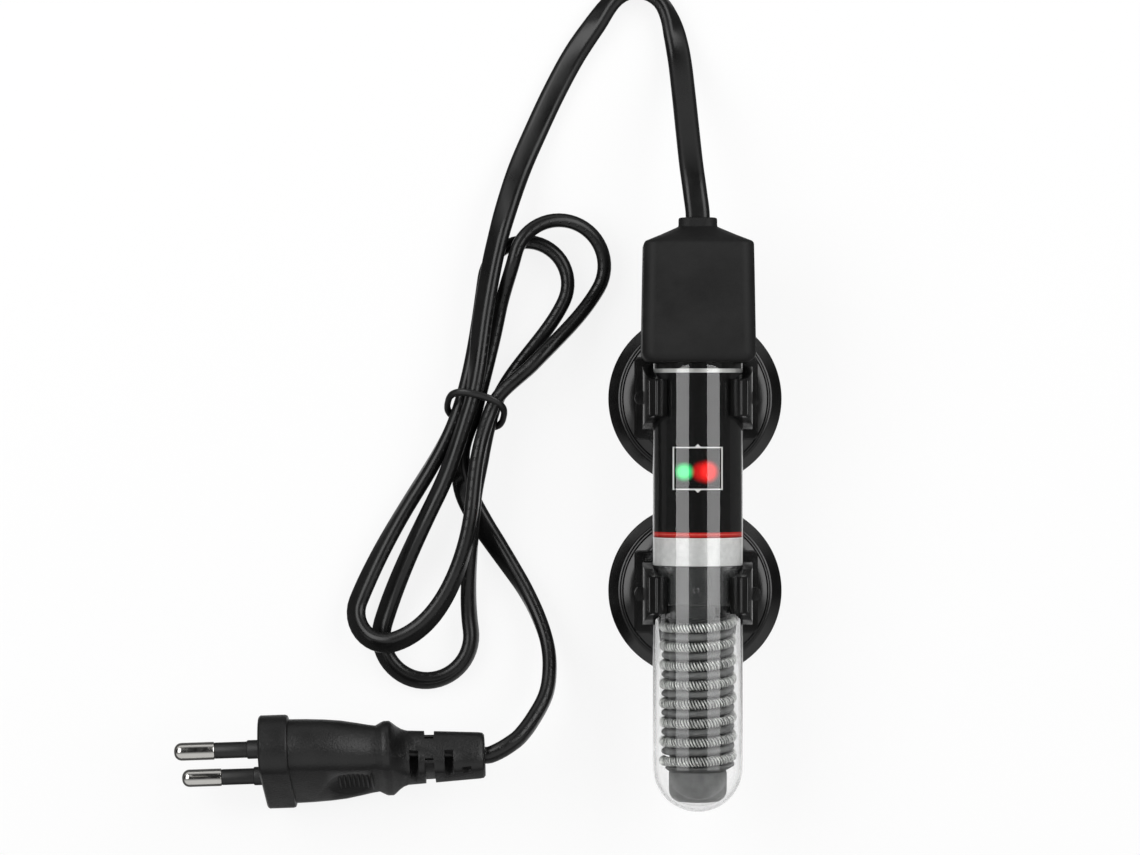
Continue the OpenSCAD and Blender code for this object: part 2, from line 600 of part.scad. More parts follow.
// Turns of the winding and of the thread between them; fall is along the tube, towards the tip
function helix(r, d, turns, y, sides) = [for (i = [0:turns*curl_rings]) let (
    a = 360*i/curl_rings, c = [r*cos(a), y - coil_pitch*a/360, axis_h + r*sin(a)],
    out = [cos(a), 0, sin(a)], dir = unit([-r*sin(a), -coil_pitch/(2*PI), r*cos(a)]))
    [for (q = round_section(d, sides)) c + q.x*out + q.y*cross(dir, out)]];
module heating_coil() color([0.62, 0.62, 0.62])
    skin(helix(coil_r, coil_wire_d, winding_turns, coil_top, 6));

// The left lead ends at the winding's lower end, the right one at its upper end
function lead_end(side) = side < 0 ? coil_end : coil_top;
module lead_bore(side) translate([side*lead_x, 0, lead_z]) on_axis(lead_end(side) - lead_past - 0.1)
    cylinder(d = lead_d + 2*slip_fit, h = nose_y - lead_end(side) + lead_past + 1);
module terminal(side, d, from, to) translate([side*from, lead_end(side), axis_h])
    rotate([0, side*90, 0]) cylinder(d = d, h = to - from);
module ceramic_core() color([0.5, 0.5, 0.5]) {
    difference() {
        union() {
            on_axis(foot_y - 0.1) cylinder(d = core_root_d, h = nose_y - foot_y + 0.05);
            on_axis(foot_y - core_foot_l) rotate_extrude() {
                polygon([[0, 0], for (a = [0:15:90]) [core_foot_d/2 - core_foot_r*(1 - sin(a)),
                    core_foot_r*(1 - cos(a))], [core_foot_d/2, core_foot_l], [0, core_foot_l]]);
            }
        }
        for (side = [-1, 1]) {
            lead_bore(side);
            terminal(side, terminal_d + 2*slip_fit, lead_x, core_foot_d);
        }
    }
    skin(helix(thread_r, thread_d, winding_turns - 1, coil_top - coil_pitch/2, 6));
}

module heater_leads() color([0.7, 0.7, 0.72]) for (side = [-1, 1])
    translate([side*lead_x, 0, lead_z]) on_axis(lead_end(side) - lead_past)
        cylinder(d = lead_d, h = board_y + 3 - lead_end(side) + lead_past);

// A terminal stops short of the winding by the sag of its flat-sided turns
terminal_end = coil_r - coil_wire_d/2 - terminal_d/2*tan(180/curl_rings) - slip_fit;
module element_terminals() color([0.8, 0.65, 0.35]) for (side = [-1, 1])
    terminal(side, terminal_d, lead_x + lead_d/2 + slip_fit, terminal_end);

module bracket(y) translate([0, y, 0]) difference() {
    union() {
        translate([0, 0, plate_z]) rounded_bar(plate_w, plate_l, plate_t, 1);
        translate([0, -clip_l/2, axis_h]) rotate([-90, 0, 0]) cylinder(r = clip_r, h = clip_l);
        translate([-clip_r, -clip_l/2, plate_z + plate_t/2])
            cube([2*clip_r, clip_l, axis_h - plate_z - plate_t/2]);
        for (s = [-1, 1]) translate([s*clip_r, 0, axis_h - clip_r + 4]) intersection() {
            cylinder(r = tab_reach, h = clip_r - 4);
            translate([-tab_reach, -tab_l/2, 0]) cube([2*tab_reach, tab_l, clip_r]);
        }
    }
    translate([0, -clip_l, axis_h]) rotate([-90, 0, 0]) cylinder(r = bore_r, h = 2*clip_l);
    translate([-leg_gap/2, -clip_l, plate_top]) cube([leg_gap, 2*clip_l, axis_h - plate_top]);
    translate([0, clip_l, axis_h]) rotate([90, 0, 0]) linear_extrude(2*clip_l)
        polygon([[0, 0], 2*clip_r*[sin(mouth_angle/2), cos(mouth_angle/2)],
                 2*clip_r*[-sin(mouth_angle/2), cos(mouth_angle/2)]]);
    for (s = [-1, 1]) translate([-2*clip_r, 0, axis_h]) rotate([90, 0, 90])
        linear_extrude(4*clip_r) polygon([
            [s*(clip_l/2 + 2), -clip_r*0.35], [s*(clip_l/2 + 0.3), -clip_r*0.35],
            [s*(clip_l/2 - lip_step*0.1), -clip_r*0.1], [s*(lip_l/2 + lip_step*0.5), clip_r*0.21],
            [s*(lip_l/2 + lip_step*0.15), clip_r*0.43], [s*lip_l/2, clip_r*0.54],
            [s*lip_l/2, clip_r + eps], [s*(clip_l/2 + 2), clip_r + eps]]);
    translate([0, 0, plate_z - eps]) cylinder(r = neck_d/2 + running_fit, h = plate_t + 2*eps);
}
module upper_bracket() color([0.14, 0.14, 0.15]) bracket(upper_y);
module lower_bracket() color([0.14, 0.14, 0.15]) bracket(lower_y);

rim_t = 0.8;
step_h = 0.35;      // height of the fine rings on the cup's back
module suction_cup(y) translate([0, y, 0]) {
    r = cup_d/2;
    hub = hub_d/2;
    wall = r - hub;
    top = plate_top + 2*slip_fit;
    rotate_extrude($fn = 96) polygon([
        [0, hollow_h], [hub*0.5, hollow_h*0.93], [hub, hollow_h*0.55], [r - seat_w - 1, 0.5], [r - seat_w, 0],
        [r, 0], [r, rim_t], [r - wall*0.36, rim_t + cup_h*0.17], [r - wall*0.36, rim_t + cup_h*0.17 + step_h],
        [r - wall*0.55, rim_t + cup_h*0.24 + step_h], [r - wall*0.55, rim_t + cup_h*0.24],
        [hub + 0.4, cup_h*0.52], [hub, cup_h*0.6], [hub - 0.6, cup_h*0.68],
        [hub*0.6, cup_h*0.76], [neck_d/2 + 2.6, cup_h], [neck_d/2, cup_h],
        [neck_d/2, top], [button_d/2, top], [button_d/2, top + button_h*0.45],
        [button_d/2 - 1, top + button_h*0.85], [button_d/4, top + button_h], [0, top + button_h]]);
}
module upper_suction_cup() color([0.1, 0.1, 0.11]) suction_cup(upper_y);
module lower_suction_cup() color([0.1, 0.1, 0.11]) suction_cup(lower_y);

module cord_lead() color([0.13, 0.13, 0.13])
    swept(lead_route, flat_eight, [0, 1, 0], heading(lead_end_dir));
module cord_hank() color([0.13, 0.13, 0.13])
    swept(hank_route, flat_six, heading(lead_end_dir), heading(tail_start_dir));
module cord_tail() color([0.13, 0.13, 0.13])
    swept(tail_route, flat_eight, heading(tail_start_dir), -heading(plug_turn));

// The tie is a band round the bundle, leaning so that its front is nearer the cap
tie_room = 0.4;
tie_corner_r = 1.6;
tie_block = 40;         // larger than the bundle
strand_span = 7.9;      // from the first strand's middle to the last one's
tie_turn = -14;
tie_tilt = -28;
tie_span = strand_span + cord_t + 2*tie_room;
tie_rise = upper_layer - lower_layer + cord_w + 2*tie_room - 0.4;
module at_tie() translate([tie_at.x, tie_at.y, (upper_layer + lower_layer)/2]) children();
module tie_bar(wall) at_tie() rotate([0, 0, tie_turn]) rotate([-90, 0, 0])
    translate([0, 0, -tie_block/2])
        rounded_bar(tie_span + 2*wall, tie_rise + 2*wall, tie_block, tie_corner_r + wall);
module cord_tie() color([0.08, 0.08, 0.08]) difference() {
    intersection() {
        tie_bar(tie_t);
        at_tie() rotate([0, 0, tie_turn - 2]) rotate([tie_tilt, 0, 0])
            translate([-tie_block/2, -tie_w/2, -tie_block/2]) cube([tie_block, tie_w, tie_block]);
    }
    tie_bar(0);
}

// Outline of the plug as [along, width, thickness], from the flange's face to the cord
plug_sections = [
    [flange_l, flange_w - 2.3, flange_t - 1.7],
    [flange_l + plug_body_l*0.5, flange_w - 5.6, flange_t - 2.4],
    [flange_l + plug_body_l*0.765, flange_w - 11.3, flange_t - 3.7]];
module plug_slab(x, w, t) translate([x, 0, 0]) rotate([0, 90, 0])
    rounded_bar(w, t, 0.2, half_round(t), $fn = 28);
relief_w = 13;
relief_t = 10.4;
relief_end_w = 10.4;
relief_end_t = 8.8;
module plug_shell() {
    hull() {
        plug_slab(0, flange_w - 1, flange_t - 1);
        plug_slab(0.6, flange_w, flange_t);
        plug_slab(flange_l - 0.8, flange_w, flange_t);
    }
    hull() {
        plug_slab(flange_l - 1, plug_sections[0][1], plug_sections[0][2]);
        plug_slab(plug_sections[1].x, plug_sections[1][1], plug_sections[1][2]);
    }
    hull() {
        plug_slab(plug_sections[1].x, plug_sections[1][1], plug_sections[1][2]);
        plug_slab(plug_sections[2].x, plug_sections[2][1], plug_sections[2][2]);
    }
    hull() {
        plug_slab(plug_sections[2].x, plug_sections[2][1], plug_sections[2][2]);
        plug_slab(relief_x - 4.2, flange_w - 8.4, flange_t - 2.2);
        plug_slab(relief_x - 2.6, flange_w - 8.4, flange_t - 2.2);
        plug_slab(relief_x, relief_w + 3, relief_t);
    }
    hull() {
        plug_slab(relief_x - 0.5, relief_w, relief_t);
        plug_slab(plug_l - 0.2, relief_end_w, relief_end_t);
    }
}
insert_l = 8;
insert_x = 1.6;         // moulding in front of the insert
insert_cover = 3;       // moulding over its sides
insert_past = 3.4;      // the insert's reach past the pins' middles
slot_w = 1.9;           // width of the first slot of the strain relief
slot_pitch = 5.6;
core_bore_x = flange_l + insert_l - 1.4;
core_reach = plug_l - core_bore_x;
core_splay = atan((pin_pitch*0.36 - core_gap/2)/core_reach);
module plug_core(s, d, l, start) translate([plug_l + start, 0, s*core_gap/2])
    rotate([0, -90 + s*core_splay, 0]) cylinder(d = d, h = l);
module insert_block(room) translate([insert_x + room, -flange_t/2 + insert_cover + room,
    -pin_pitch/2 - insert_past + room])
    cube([insert_l + 3 - 2*room, flange_t - 2*insert_cover - 2*room, pin_pitch + 2*insert_past - 2*room]);
module relief_slots() for (i = [0:2]) let (x = relief_x + 2 + i*slot_pitch, d = slot_w - 0.15*i) {
    for (s = [-1, 1]) translate([x, s*(relief_t/2 + 0.4), 0])
        cube([d, 5, relief_w*0.7], center = true);
    for (s = [-1, 1]) translate([x + slot_pitch/2, 0, s*(relief_w/2 + 0.2)])
        cube([d, relief_t + 2, 4.4], center = true);
}
module plug_body() color([0.14, 0.14, 0.14]) on_plug() difference() {
    plug_shell();
    insert_block(0);
    for (s = [-1, 1]) {
        translate([-eps, 0, s*pin_pitch/2]) rotate([0, 90, 0]) cylinder(d = root_d, h = 2.2 + eps);
        plug_core(s, core_wire_d + 2*slip_fit, core_reach + 1.5, 0.8);
    }
    relief_slots();
}
module plug_insert() color([0.86, 0.85, 0.82]) on_plug() difference() {
    insert_block(slip_fit);
    for (s = [-1, 1]) {
        translate([0, 0, s*pin_pitch/2]) rotate([0, 90, 0]) cylinder(d = root_d + 0.02, h = 2.25);
        translate([0, 0, s*pin_pitch/2]) rotate([0, 90, 0]) cylinder(d = pin_d, h = 9.4);
        plug_core(s, core_wire_d + 2*slip_fit, core_reach + 1.5, 0.8);
    }
}
module plug_cores() color([0.5, 0.3, 0.15]) on_plug() for (s = [-1, 1]) intersection() {
    plug_core(s, core_wire_d, core_reach + 1.4, 0.8);
    translate([0, -5, -20]) cube([plug_l - 0.05, 10, 40]);
}
// A pin and its sleeve, turned round the pin's axis; the sleeve's collar sits in the flange
module turned_on_pin(s) on_plug() translate([0, 0, s*pin_pitch/2]) rotate([0, -90, 0])
    rotate_extrude(convexity = 4) children();
module plug_pin(s) turned_on_pin(s)
    polygon([[0, -9.3], [pin_d/2 - 0.01, -9.3], [pin_d/2 - 0.01, -2.3], [sleeve_d/2 - 0.5, -2.3],
        [sleeve_d/2 - 0.5, sleeve_l], [pin_d/2, sleeve_l], [pin_d/2, pin_l - 1.6],
        for (a = [0:15:90]) [pin_d/2 - 1.6 + 1.6*cos(a), pin_l - 1.6 + 1.6*sin(a)], [0, pin_l]]);
module pin_sleeve(s) turned_on_pin(s)
    polygon([[sleeve_d/2 - 0.48, -2.2], [root_d/2 - 0.01, -2.2], [root_d/2 - 0.01, root_l],
        [sleeve_d/2, root_l], [sleeve_d/2, sleeve_l - 0.02], [sleeve_d/2 - 0.48, sleeve_l - 0.02]]);
module left_pin() color([0.8, 0.8, 0.82]) plug_pin(1);
module right_pin() color([0.8, 0.8, 0.82]) plug_pin(-1);
module left_sleeve() color([0.12, 0.12, 0.12]) pin_sleeve(1);
module right_sleeve() color([0.12, 0.12, 0.12]) pin_sleeve(-1);

glass_tube();
rubber_cap();
seal_ring();
tube_stopper();
cord_grip();
inlet_cord();
supply_cores();
label_sleeve();
circuit_board();
green_lamp();
red_lamp();
lamp_resistors();
thermostat_frame();
fixed_contact();
snap_magnet();
setting_screw();
bimetal_blade();
moving_contact();
element_holder();
ceramic_core();
heating_coil();
heater_leads();
element_terminals();
upper_bracket();
lower_bracket();
upper_suction_cup();
lower_suction_cup();
cord_lead();
cord_hank();
cord_tail();
cord_tie();
plug_body();
plug_insert();
plug_cores();
left_pin();
right_pin();
left_sleeve();
right_sleeve();
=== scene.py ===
import math
import bpy
from mathutils import Matrix, Vector


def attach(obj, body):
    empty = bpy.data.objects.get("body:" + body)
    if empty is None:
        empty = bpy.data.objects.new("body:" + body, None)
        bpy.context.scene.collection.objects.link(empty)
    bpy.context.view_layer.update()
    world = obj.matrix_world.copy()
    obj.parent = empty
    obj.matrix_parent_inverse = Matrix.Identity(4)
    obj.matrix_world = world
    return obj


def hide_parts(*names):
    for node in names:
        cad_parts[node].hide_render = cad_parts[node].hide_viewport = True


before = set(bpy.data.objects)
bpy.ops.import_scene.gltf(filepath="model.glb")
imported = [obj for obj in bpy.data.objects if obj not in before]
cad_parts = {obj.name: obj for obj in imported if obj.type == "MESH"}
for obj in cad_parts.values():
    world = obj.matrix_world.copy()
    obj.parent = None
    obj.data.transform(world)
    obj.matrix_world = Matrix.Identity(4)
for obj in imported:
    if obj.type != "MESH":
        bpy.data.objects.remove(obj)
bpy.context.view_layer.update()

# The studio: a white board under the heater and two tall soft boxes, one on each side of it,
# whose light fades towards the tip of the glass. The board keeps a soft shadow. Reflections show
# a dark room with light cards low at both ends, and the board bright only from straight above.


def linear(code):
    """An sRGB hex colour as linear RGBA."""
    parts = [int(code[i:i + 2], 16) / 255 for i in (1, 3, 5)]
    return [c / 12.92 if c <= 0.04045 else ((c + 0.055) / 1.055) ** 2.4 for c in parts] + [1.0]


def emptied(owner):
    """Turns on the shader nodes of a material, lamp or world, and clears them."""
    owner.use_nodes = True
    owner.node_tree.nodes.clear()
    return owner


def new_material(name):
    return emptied(bpy.data.materials.new(name))


def add_node(owner, kind, settings):
    """Adds a shader node and sets its fields and sockets, or links them where a socket is given."""
    made = owner.node_tree.nodes.new("ShaderNode" + kind)
    for key, value in settings.items():
        if isinstance(key, str) and key not in made.inputs:
            setattr(made, key, value)
        elif isinstance(value, bpy.types.NodeSocket):
            owner.node_tree.links.new(value, made.inputs[key])
        else:
            made.inputs[key].default_value = value
    return made


def number_math(owner, operation, *values):
    """The result of a sum on single values."""
    return add_node(owner, "Math", {"operation": operation, **dict(enumerate(values))}).outputs[0]


def ranged(owner, value, low, high, to_low, to_high, kind="LINEAR"):
    """A value mapped from one range onto another, and held at its ends."""
    return add_node(owner, "MapRange", {
        "interpolation_type": kind, "Value": value, "From Min": low, "From Max": high,
        "To Min": to_low, "To Max": to_high}).outputs[0]


def split(owner, place):
    """The X, Y and Z of a place."""
    return add_node(owner, "SeparateXYZ", {0: place}).outputs


def white(owner, kind, strength):
    """White light of a strength, as an Emission or a Background."""
    return add_node(owner, kind, {"Color": (1, 1, 1, 1), "Strength": strength}).outputs[0]


def by_ray(owner, lit, seen, share, mirrored):
    """One shader that lights things, one seen directly or through glass, and one in reflections."""
    path = add_node(owner, "LightPath", {}).outputs
    looked_at = number_math(owner, "MAXIMUM", path["Is Camera Ray"], path["Is Transmission Ray"])
    open_view = add_node(owner, "MixShader", {
        0: number_math(owner, "MULTIPLY", looked_at, share), 1: lit, 2: seen})
    reflected = add_node(owner, "Math", {"operation": "SUBTRACT", "use_clamp": True,
                                         0: path["Is Glossy Ray"], 1: path["Is Transmission Ray"]})
    return add_node(owner, "MixShader", {0: reflected.outputs[0], 1: open_view.outputs[0],
                                         2: mirrored}).outputs[0]


bpy.ops.object.select_all(action="DESELECT")
bpy.ops.object.camera_add(location=(-0.0284, 0.0194, 1.0), rotation=(0, 0, 0))
camera = bpy.context.object
camera.name = "camera"
camera.data.lens = 138.85
camera.data.sensor_width = 36
bpy.context.scene.camera = camera
bpy.context.scene.view_settings.view_transform = "Standard"

bpy.ops.mesh.primitive_plane_add(size=6, location=(0, 0, -0.0004))
floor = bpy.context.object
floor.name = "floor"
bpy.ops.object.transform_apply(location=True)
board = new_material("studio_board")
board_paint = add_node(board, "BsdfDiffuse", {"Color": linear("#d2d2d2")}).outputs[0]
board_slant = add_node(board, "LayerWeight", {"Blend": 0.5}).outputs["Facing"]
board_shine = ranged(board, board_slant, 0.02, 0.2, 1.0, 0.1)
add_node(board, "OutputMaterial", {"Surface": by_ray(
    board, board_paint, white(board, "Emission", 1.08), 0.8,
    white(board, "Emission", board_shine))})
floor.data.materials.append(board)

box_away, heater_high = 0.75, 0.023
for side, turn in (("left", -42), ("right", 40)):
    angle = math.radians(turn)
    bpy.ops.object.light_add(type="AREA", rotation=(0, angle, 0), location=(
        box_away * math.sin(angle), 0.0, heater_high + box_away * math.cos(angle)))
    soft_box = bpy.context.object
    soft_box.name = side + "_soft_box"
    soft_box.visible_camera = False
    lamp = emptied(soft_box.data)
    lamp.shape = "RECTANGLE"
    lamp.size = 0.47
    lamp.size_y = 1.3
    lamp.energy = 6.4
    on_box = split(lamp, add_node(lamp, "NewGeometry", {}).outputs["Parametric"])
    fading = ranged(lamp, on_box["Y"], 0.36, 0.47, 0.0, 1.0, "SMOOTHSTEP")
    add_node(lamp, "OutputLight", {0: white(lamp, "Emission", fading)})

room = emptied(bpy.data.worlds.new("room"))
bpy.context.scene.world = room
sky = split(room, add_node(room, "TexCoord", {}).outputs["Generated"])
low_down = ranged(room, sky["Z"], 0.02, 0.4, 1.0, 0.03)
to_sides = ranged(room, number_math(room, "ABSOLUTE", sky["X"]), 0.2, 0.85, 0.2, 1.0)
horizon = number_math(room, "MULTIPLY", low_down, to_sides)
near_card = ranged(room, sky["Y"], -0.5, -0.08, 0.75, 0.02)
far_side = ranged(room, sky["Y"], 0.3, 0.7, 0.0, 1.0)
half_high = ranged(room, sky["Z"], 0.35, 0.62, 0.7, 0.0)
far_shape = number_math(room, "MAXIMUM", low_down, half_high)
far_card = number_math(room, "MULTIPLY", far_side, far_shape)
cards = number_math(room, "MAXIMUM", near_card, far_card)
add_node(room, "OutputWorld", {"Surface": by_ray(
    room, white(room, "Background", 0.3), white(room, "Background", horizon), 1.0,
    white(room, "Background", cards))})


# The supply cord: two cores side by side in one flat sheath of extruded black PVC, 5.4 by 3.1 mm.
# It leaves the cap, comes back to a hank of two loops each way, and runs on to the plug.
# Soft PVC has a satin skin; tiny raised dots run along the middle of one flat side.
cord_w, cord_t, cord_step = 5.4, 3.1, 1.2
lead_route = [
    (0, 66, 23, 90), (-0.6, 71.5, 22.9, 90), (-1.4, 78, 20.5, 90), (-2.1, 86, 15.5, 90),
    (-2.8, 94.5, 9.5, 90), (-3.6, 102.5, 4.7, 84), (-4.7, 108.5, 2.9, 60), (-6, 112.7, 2.9, 30),
    (-8, 116, 2.9, 14), (-11.4, 118, 2.9, 10), (-15.4, 118, 2.9, 14), (-18.8, 116, 2.9, 30),
    (-22.6, 111, 2.4, 60), (-27.4, 104, 1.8, 78), (-32, 95.5, 1.7, 82), (-36.2, 86.5, 2.2, 80),
    (-39.8, 78, 4, 74), (-42.6, 69.5, 6.8, 62), (-44.8, 61.5, 8.3, 46)]
lower_layer, upper_layer = 3.9, 9.9
hank_plan = [
    (-44.8, 61.5, 8.3, 46, -104), (-48, 44.5, 9.2, 40, -99),
    (-51.2, 23.4, upper_layer, 8, -108), (-58.4, 4, 8.6, 20, -116),
    (-61, -27.8, 10.2, 163, 368, 2.7, 2.7, 36, 14),
    (-50, 2, 6.9, 0, 86), (-48.2, 12.5, 6.8, 0, 80), (-45.7, 23.4, lower_layer, 0, 72),
    (-38.4, 52, 9.5, -25, 172, 2.8, 2.8, 0, 0),
    (-53.6, 23.4, lower_layer, 0, -108), (-63.8, 4, 3.4, 14, -122),
    (-70, -22.4, 6.8, 158, 288, 4.8, 9.1, 34, 42),
    (-50.4, 2, 12.9, 4, 84), (-49.2, 12.5, 12.8, 2, 80), (-46.2, 23.4, upper_layer, 0, 70),
    (-36.6, 33.8, 9.6, 4, 46),
    (-30.8, 56, 10.2, -30, 166, 2.8, 9, 2, 0),
    (-44.4, 45.5, 3.4, 0, -101), (-49.65, 23.4, lower_layer, 0, -104),
    (-52.9, 13, 3, 14, -92), (-51.9, 4.5, 1.7, 86, -72), (-48.6, -2, 1.9, 72, -60)]
plug_turn, plug_roll, plug_length = 1.9, -22.5, 49.6
plug_place = (Matrix.Translation((-97, -55.5, 17.0118))
              @ Matrix.Rotation(math.radians(plug_turn), 4, "Z")
              @ Matrix.Rotation(math.radians(plug_roll), 4, "X"))
tail_route = [
    (-48.6, -2, 1.9, 72), (-45, -7.5, 2.3, 52), (-42, -12, 2.8, 34), (-38.5, -17.5, 3.3, 16),
    (-35.5, -23.5, 4.6, 6), (-33.5, -29.5, 6.8, 0), (-33, -35, 9.4, -4), (-33.8, -40.5, 11.9, -9),
    (-36.6, -45.8, 14.4, -14), (-39.7, -49.8, 16.3, -18), (-42.4, -51.8, 17.1, -21),
    (-44.5, -53, 17.2, -22), (*(plug_place @ Vector((plug_length + 1, 0, 0))), plug_roll),
    (*(plug_place @ Vector((plug_length, 0, 0))), plug_roll)]


def heading(angle):
    return Vector((math.cos(math.radians(angle)), math.sin(math.radians(angle)), 0))


def curve_between(p, q, start, end, share):
    """A cubic from p to q that leaves along start and arrives along end, at share of its way."""
    square, cube = share ** 2, share ** 3
    return ((2 * cube - 3 * square + 1) * p + (3 * square - 2 * cube) * q
            + (cube - 2 * square + share) * start + (cube - square) * end)


def through_points(points, first, last):
    """Points and rolls on one smooth curve through a route's points, about 1.2 mm apart."""
    spots = [Vector(p[:3]) for p in points]
    rolls = [p[3] for p in points]
    way = [first] + [(spots[i + 1] - spots[i - 1]).normalized()
                     for i in range(1, len(spots) - 1)] + [last]
    made = []
    for i in range(len(spots) - 1):
        chord = (spots[i + 1] - spots[i]).length
        before = rolls[max(i - 1, 0)]
        after = rolls[min(i + 2, len(rolls) - 1)]
        steps = max(2, round(chord / cord_step))
        for k in range(steps):
            share = k / steps
            spot = curve_between(spots[i], spots[i + 1], way[i] * chord, way[i + 1] * chord, share)
            made.append((spot, curve_between(rolls[i], rolls[i + 1], (rolls[i + 1] - before) / 2,
                                             (after - rolls[i]) / 2, share)))
    return made


def through_hank(plan):
    """The hank's points and rolls: runs between its stops, and bends round their centres."""
    made = []

    def on_bend(bend, share):
        x, y, radius, start, end, z, end_z, roll, end_roll = bend
        angle = start + (end - start) * share
        ease = share * share * (3 - 2 * share)
        spot = Vector((x, y, z + (end_z - z) * ease)) + radius * heading(angle)
        return spot, roll + (end_roll - roll) * ease, angle + 90

    def stop(entry, share):
        return on_bend(entry, share) if len(entry) == 9 else (Vector(entry[:3]), entry[3], entry[4])

    for k, entry in enumerate(plan):
        if len(entry) == 9:
            steps = round(math.radians(entry[4] - entry[3]) * entry[2] / cord_step)
            made += [on_bend(entry, i / steps)[:2] for i in range(steps)]
        if k + 1 < len(plan):
            (p, roll, away), (q, end_roll, home) = stop(entry, 1), stop(plan[k + 1], 0)
            chord = (q - p).xy.length
            steps = max(2, round(chord / cord_step))
            for i in range(steps):
                share = i / steps
                ease = share * share * (3 - 2 * share)
                spot = curve_between(p, q, heading(away) * chord, heading(home) * chord, share)
                spot.z = p.z + (q.z - p.z) * ease
                made.append((spot, roll + (end_roll - roll) * ease))
    return made


def arc(radius, start, end, steps):
    """Points on an arc round zero, between two angles in degrees."""
    angles = [math.radians(start + (end - start) * k / steps) for k in range(steps + 1)]
    return [(radius * math.cos(a), radius * math.sin(a)) for a in angles]


def pick(target):
    """Makes one object the selected and the active one."""
    bpy.ops.object.select_all(action="DESELECT")
    bpy.context.view_layer.objects.active = target
    target.select_set(True)


def new_shape(name, points, edges, faces):
    """An object from its points in metres, its edges and its faces."""
    mesh = bpy.data.meshes.new(name)
    mesh.from_pydata(points, edges, faces)
    made = bpy.data.objects.new(name, mesh)
    bpy.context.collection.objects.link(made)
    return made


def edited(target, *steps):
    """Runs operators with their settings on the whole of a mesh, and turns its faces outwards."""
    pick(target)
    bpy.ops.object.mode_set(mode="EDIT")
    for operator, settings in (*steps, (bpy.ops.mesh.normals_make_consistent, {"inside": False})):
        bpy.ops.mesh.select_all(action="SELECT")
        operator(**settings)
    bpy.ops.object.mode_set(mode="OBJECT")
    return target


def vector_math(owner, operation, vector, by=None):
    """The result of a sum on a place or a colour; a LENGTH is a single value."""
    second = {} if by is None else {"Scale" if operation == "SCALE" else 1: by}
    made = add_node(owner, "VectorMath", {"operation": operation, 0: vector, **second})
    return made.outputs["Value" if operation == "LENGTH" else "Vector"]


def noise(owner, place, scale, detail, roughness=0.5):
    """Cloudy noise, with scale as clouds in a metre."""
    return add_node(owner, "TexNoise", {"Vector": place, "Scale": scale, "Detail": detail,
                                        "Roughness": roughness}).outputs["Fac"]


def toned(owner, share, low, dark, high, light):
    """One colour up to a low share, another from a high share, and their mixes between."""
    ramp = add_node(owner, "ValToRGB", {0: share})
    for stop, at, shade in zip(ramp.color_ramp.elements, (low, high), (dark, light)):
        stop.position = at
        stop.color = linear(shade)
    return ramp.outputs[0]


def bumped(owner, height, strength, depth):
    return add_node(owner, "Bump", {"Height": height, "Strength": strength,
                                    "Distance": depth}).outputs[0]


def surfaced(owner, settings):
    """Ends a material in one principled surface."""
    surface = add_node(owner, "BsdfPrincipled", settings).outputs[0]
    add_node(owner, "OutputMaterial", {"Surface": surface})
    return owner


out_of_cap, into_plug = heading(90), -heading(plug_turn)
into_hank, out_of_hank = (heading(hank_plan[k][4]) for k in (0, -1))
cord_points = (through_points(lead_route, out_of_cap, into_hank)
               + through_hank(hank_plan)
               + through_points(tail_route, out_of_hank, into_plug)
               + [(Vector(tail_route[-1][:3]), tail_route[-1][3])])
cord_section = []
for end in (1, -1):
    cord_section += [(end * ((cord_w - cord_t) / 2 + u), end * v)
                     for u, v in arc(cord_t / 2, -90, 90, 10)]
    cord_section.append((0.0, end * cord_t / 2))
corners = []
for i, (spot, roll) in enumerate(cord_points):
    along = (cord_points[min(i + 1, len(cord_points) - 1)][0] - cord_points[max(i - 1, 0)][0])
    along.normalize()
    level = Vector((0, 0, 1)).cross(along).normalized()
    rise = along.cross(level)
    turn = math.radians(roll)
    wide = math.cos(turn) * rise + math.sin(turn) * level
    thin = math.cos(turn) * level - math.sin(turn) * rise
    corners += [(spot + u * wide + v * thin) / 1000 for u, v in cord_section]
around = len(cord_section)
walls = [(i * around + k, i * around + (k + 1) % around,
          (i + 1) * around + (k + 1) % around, (i + 1) * around + k)
         for i in range(len(cord_points) - 1) for k in range(around)]
ends = [tuple(reversed(range(around))), tuple(range(len(corners) - around, len(corners)))]
supply_cord = new_shape("supply_cord", corners, [], walls + ends)
cord_mesh = supply_cord.data
so_far = [0.0]
for (a, _), (b, _) in zip(cord_points, cord_points[1:]):
    so_far.append(so_far[-1] + (b - a).length / 1000)
girth = (2 * (cord_w - cord_t) + math.pi * cord_t) / 1000
cord_uv = cord_mesh.uv_layers.new(name="along_cord")
for face in cord_mesh.polygons:
    for loop in face.loop_indices:
        ring, k = divmod(cord_mesh.loops[loop].vertex_index, around)
        k = around if k == 0 and max(
            cord_mesh.loops[n].vertex_index % around for n in face.loop_indices) > around / 2 else k
        cord_uv.data[loop].uv = (so_far[ring], girth * k / around)
edited(supply_cord)
bpy.ops.object.shade_smooth_by_angle(angle=math.radians(50))

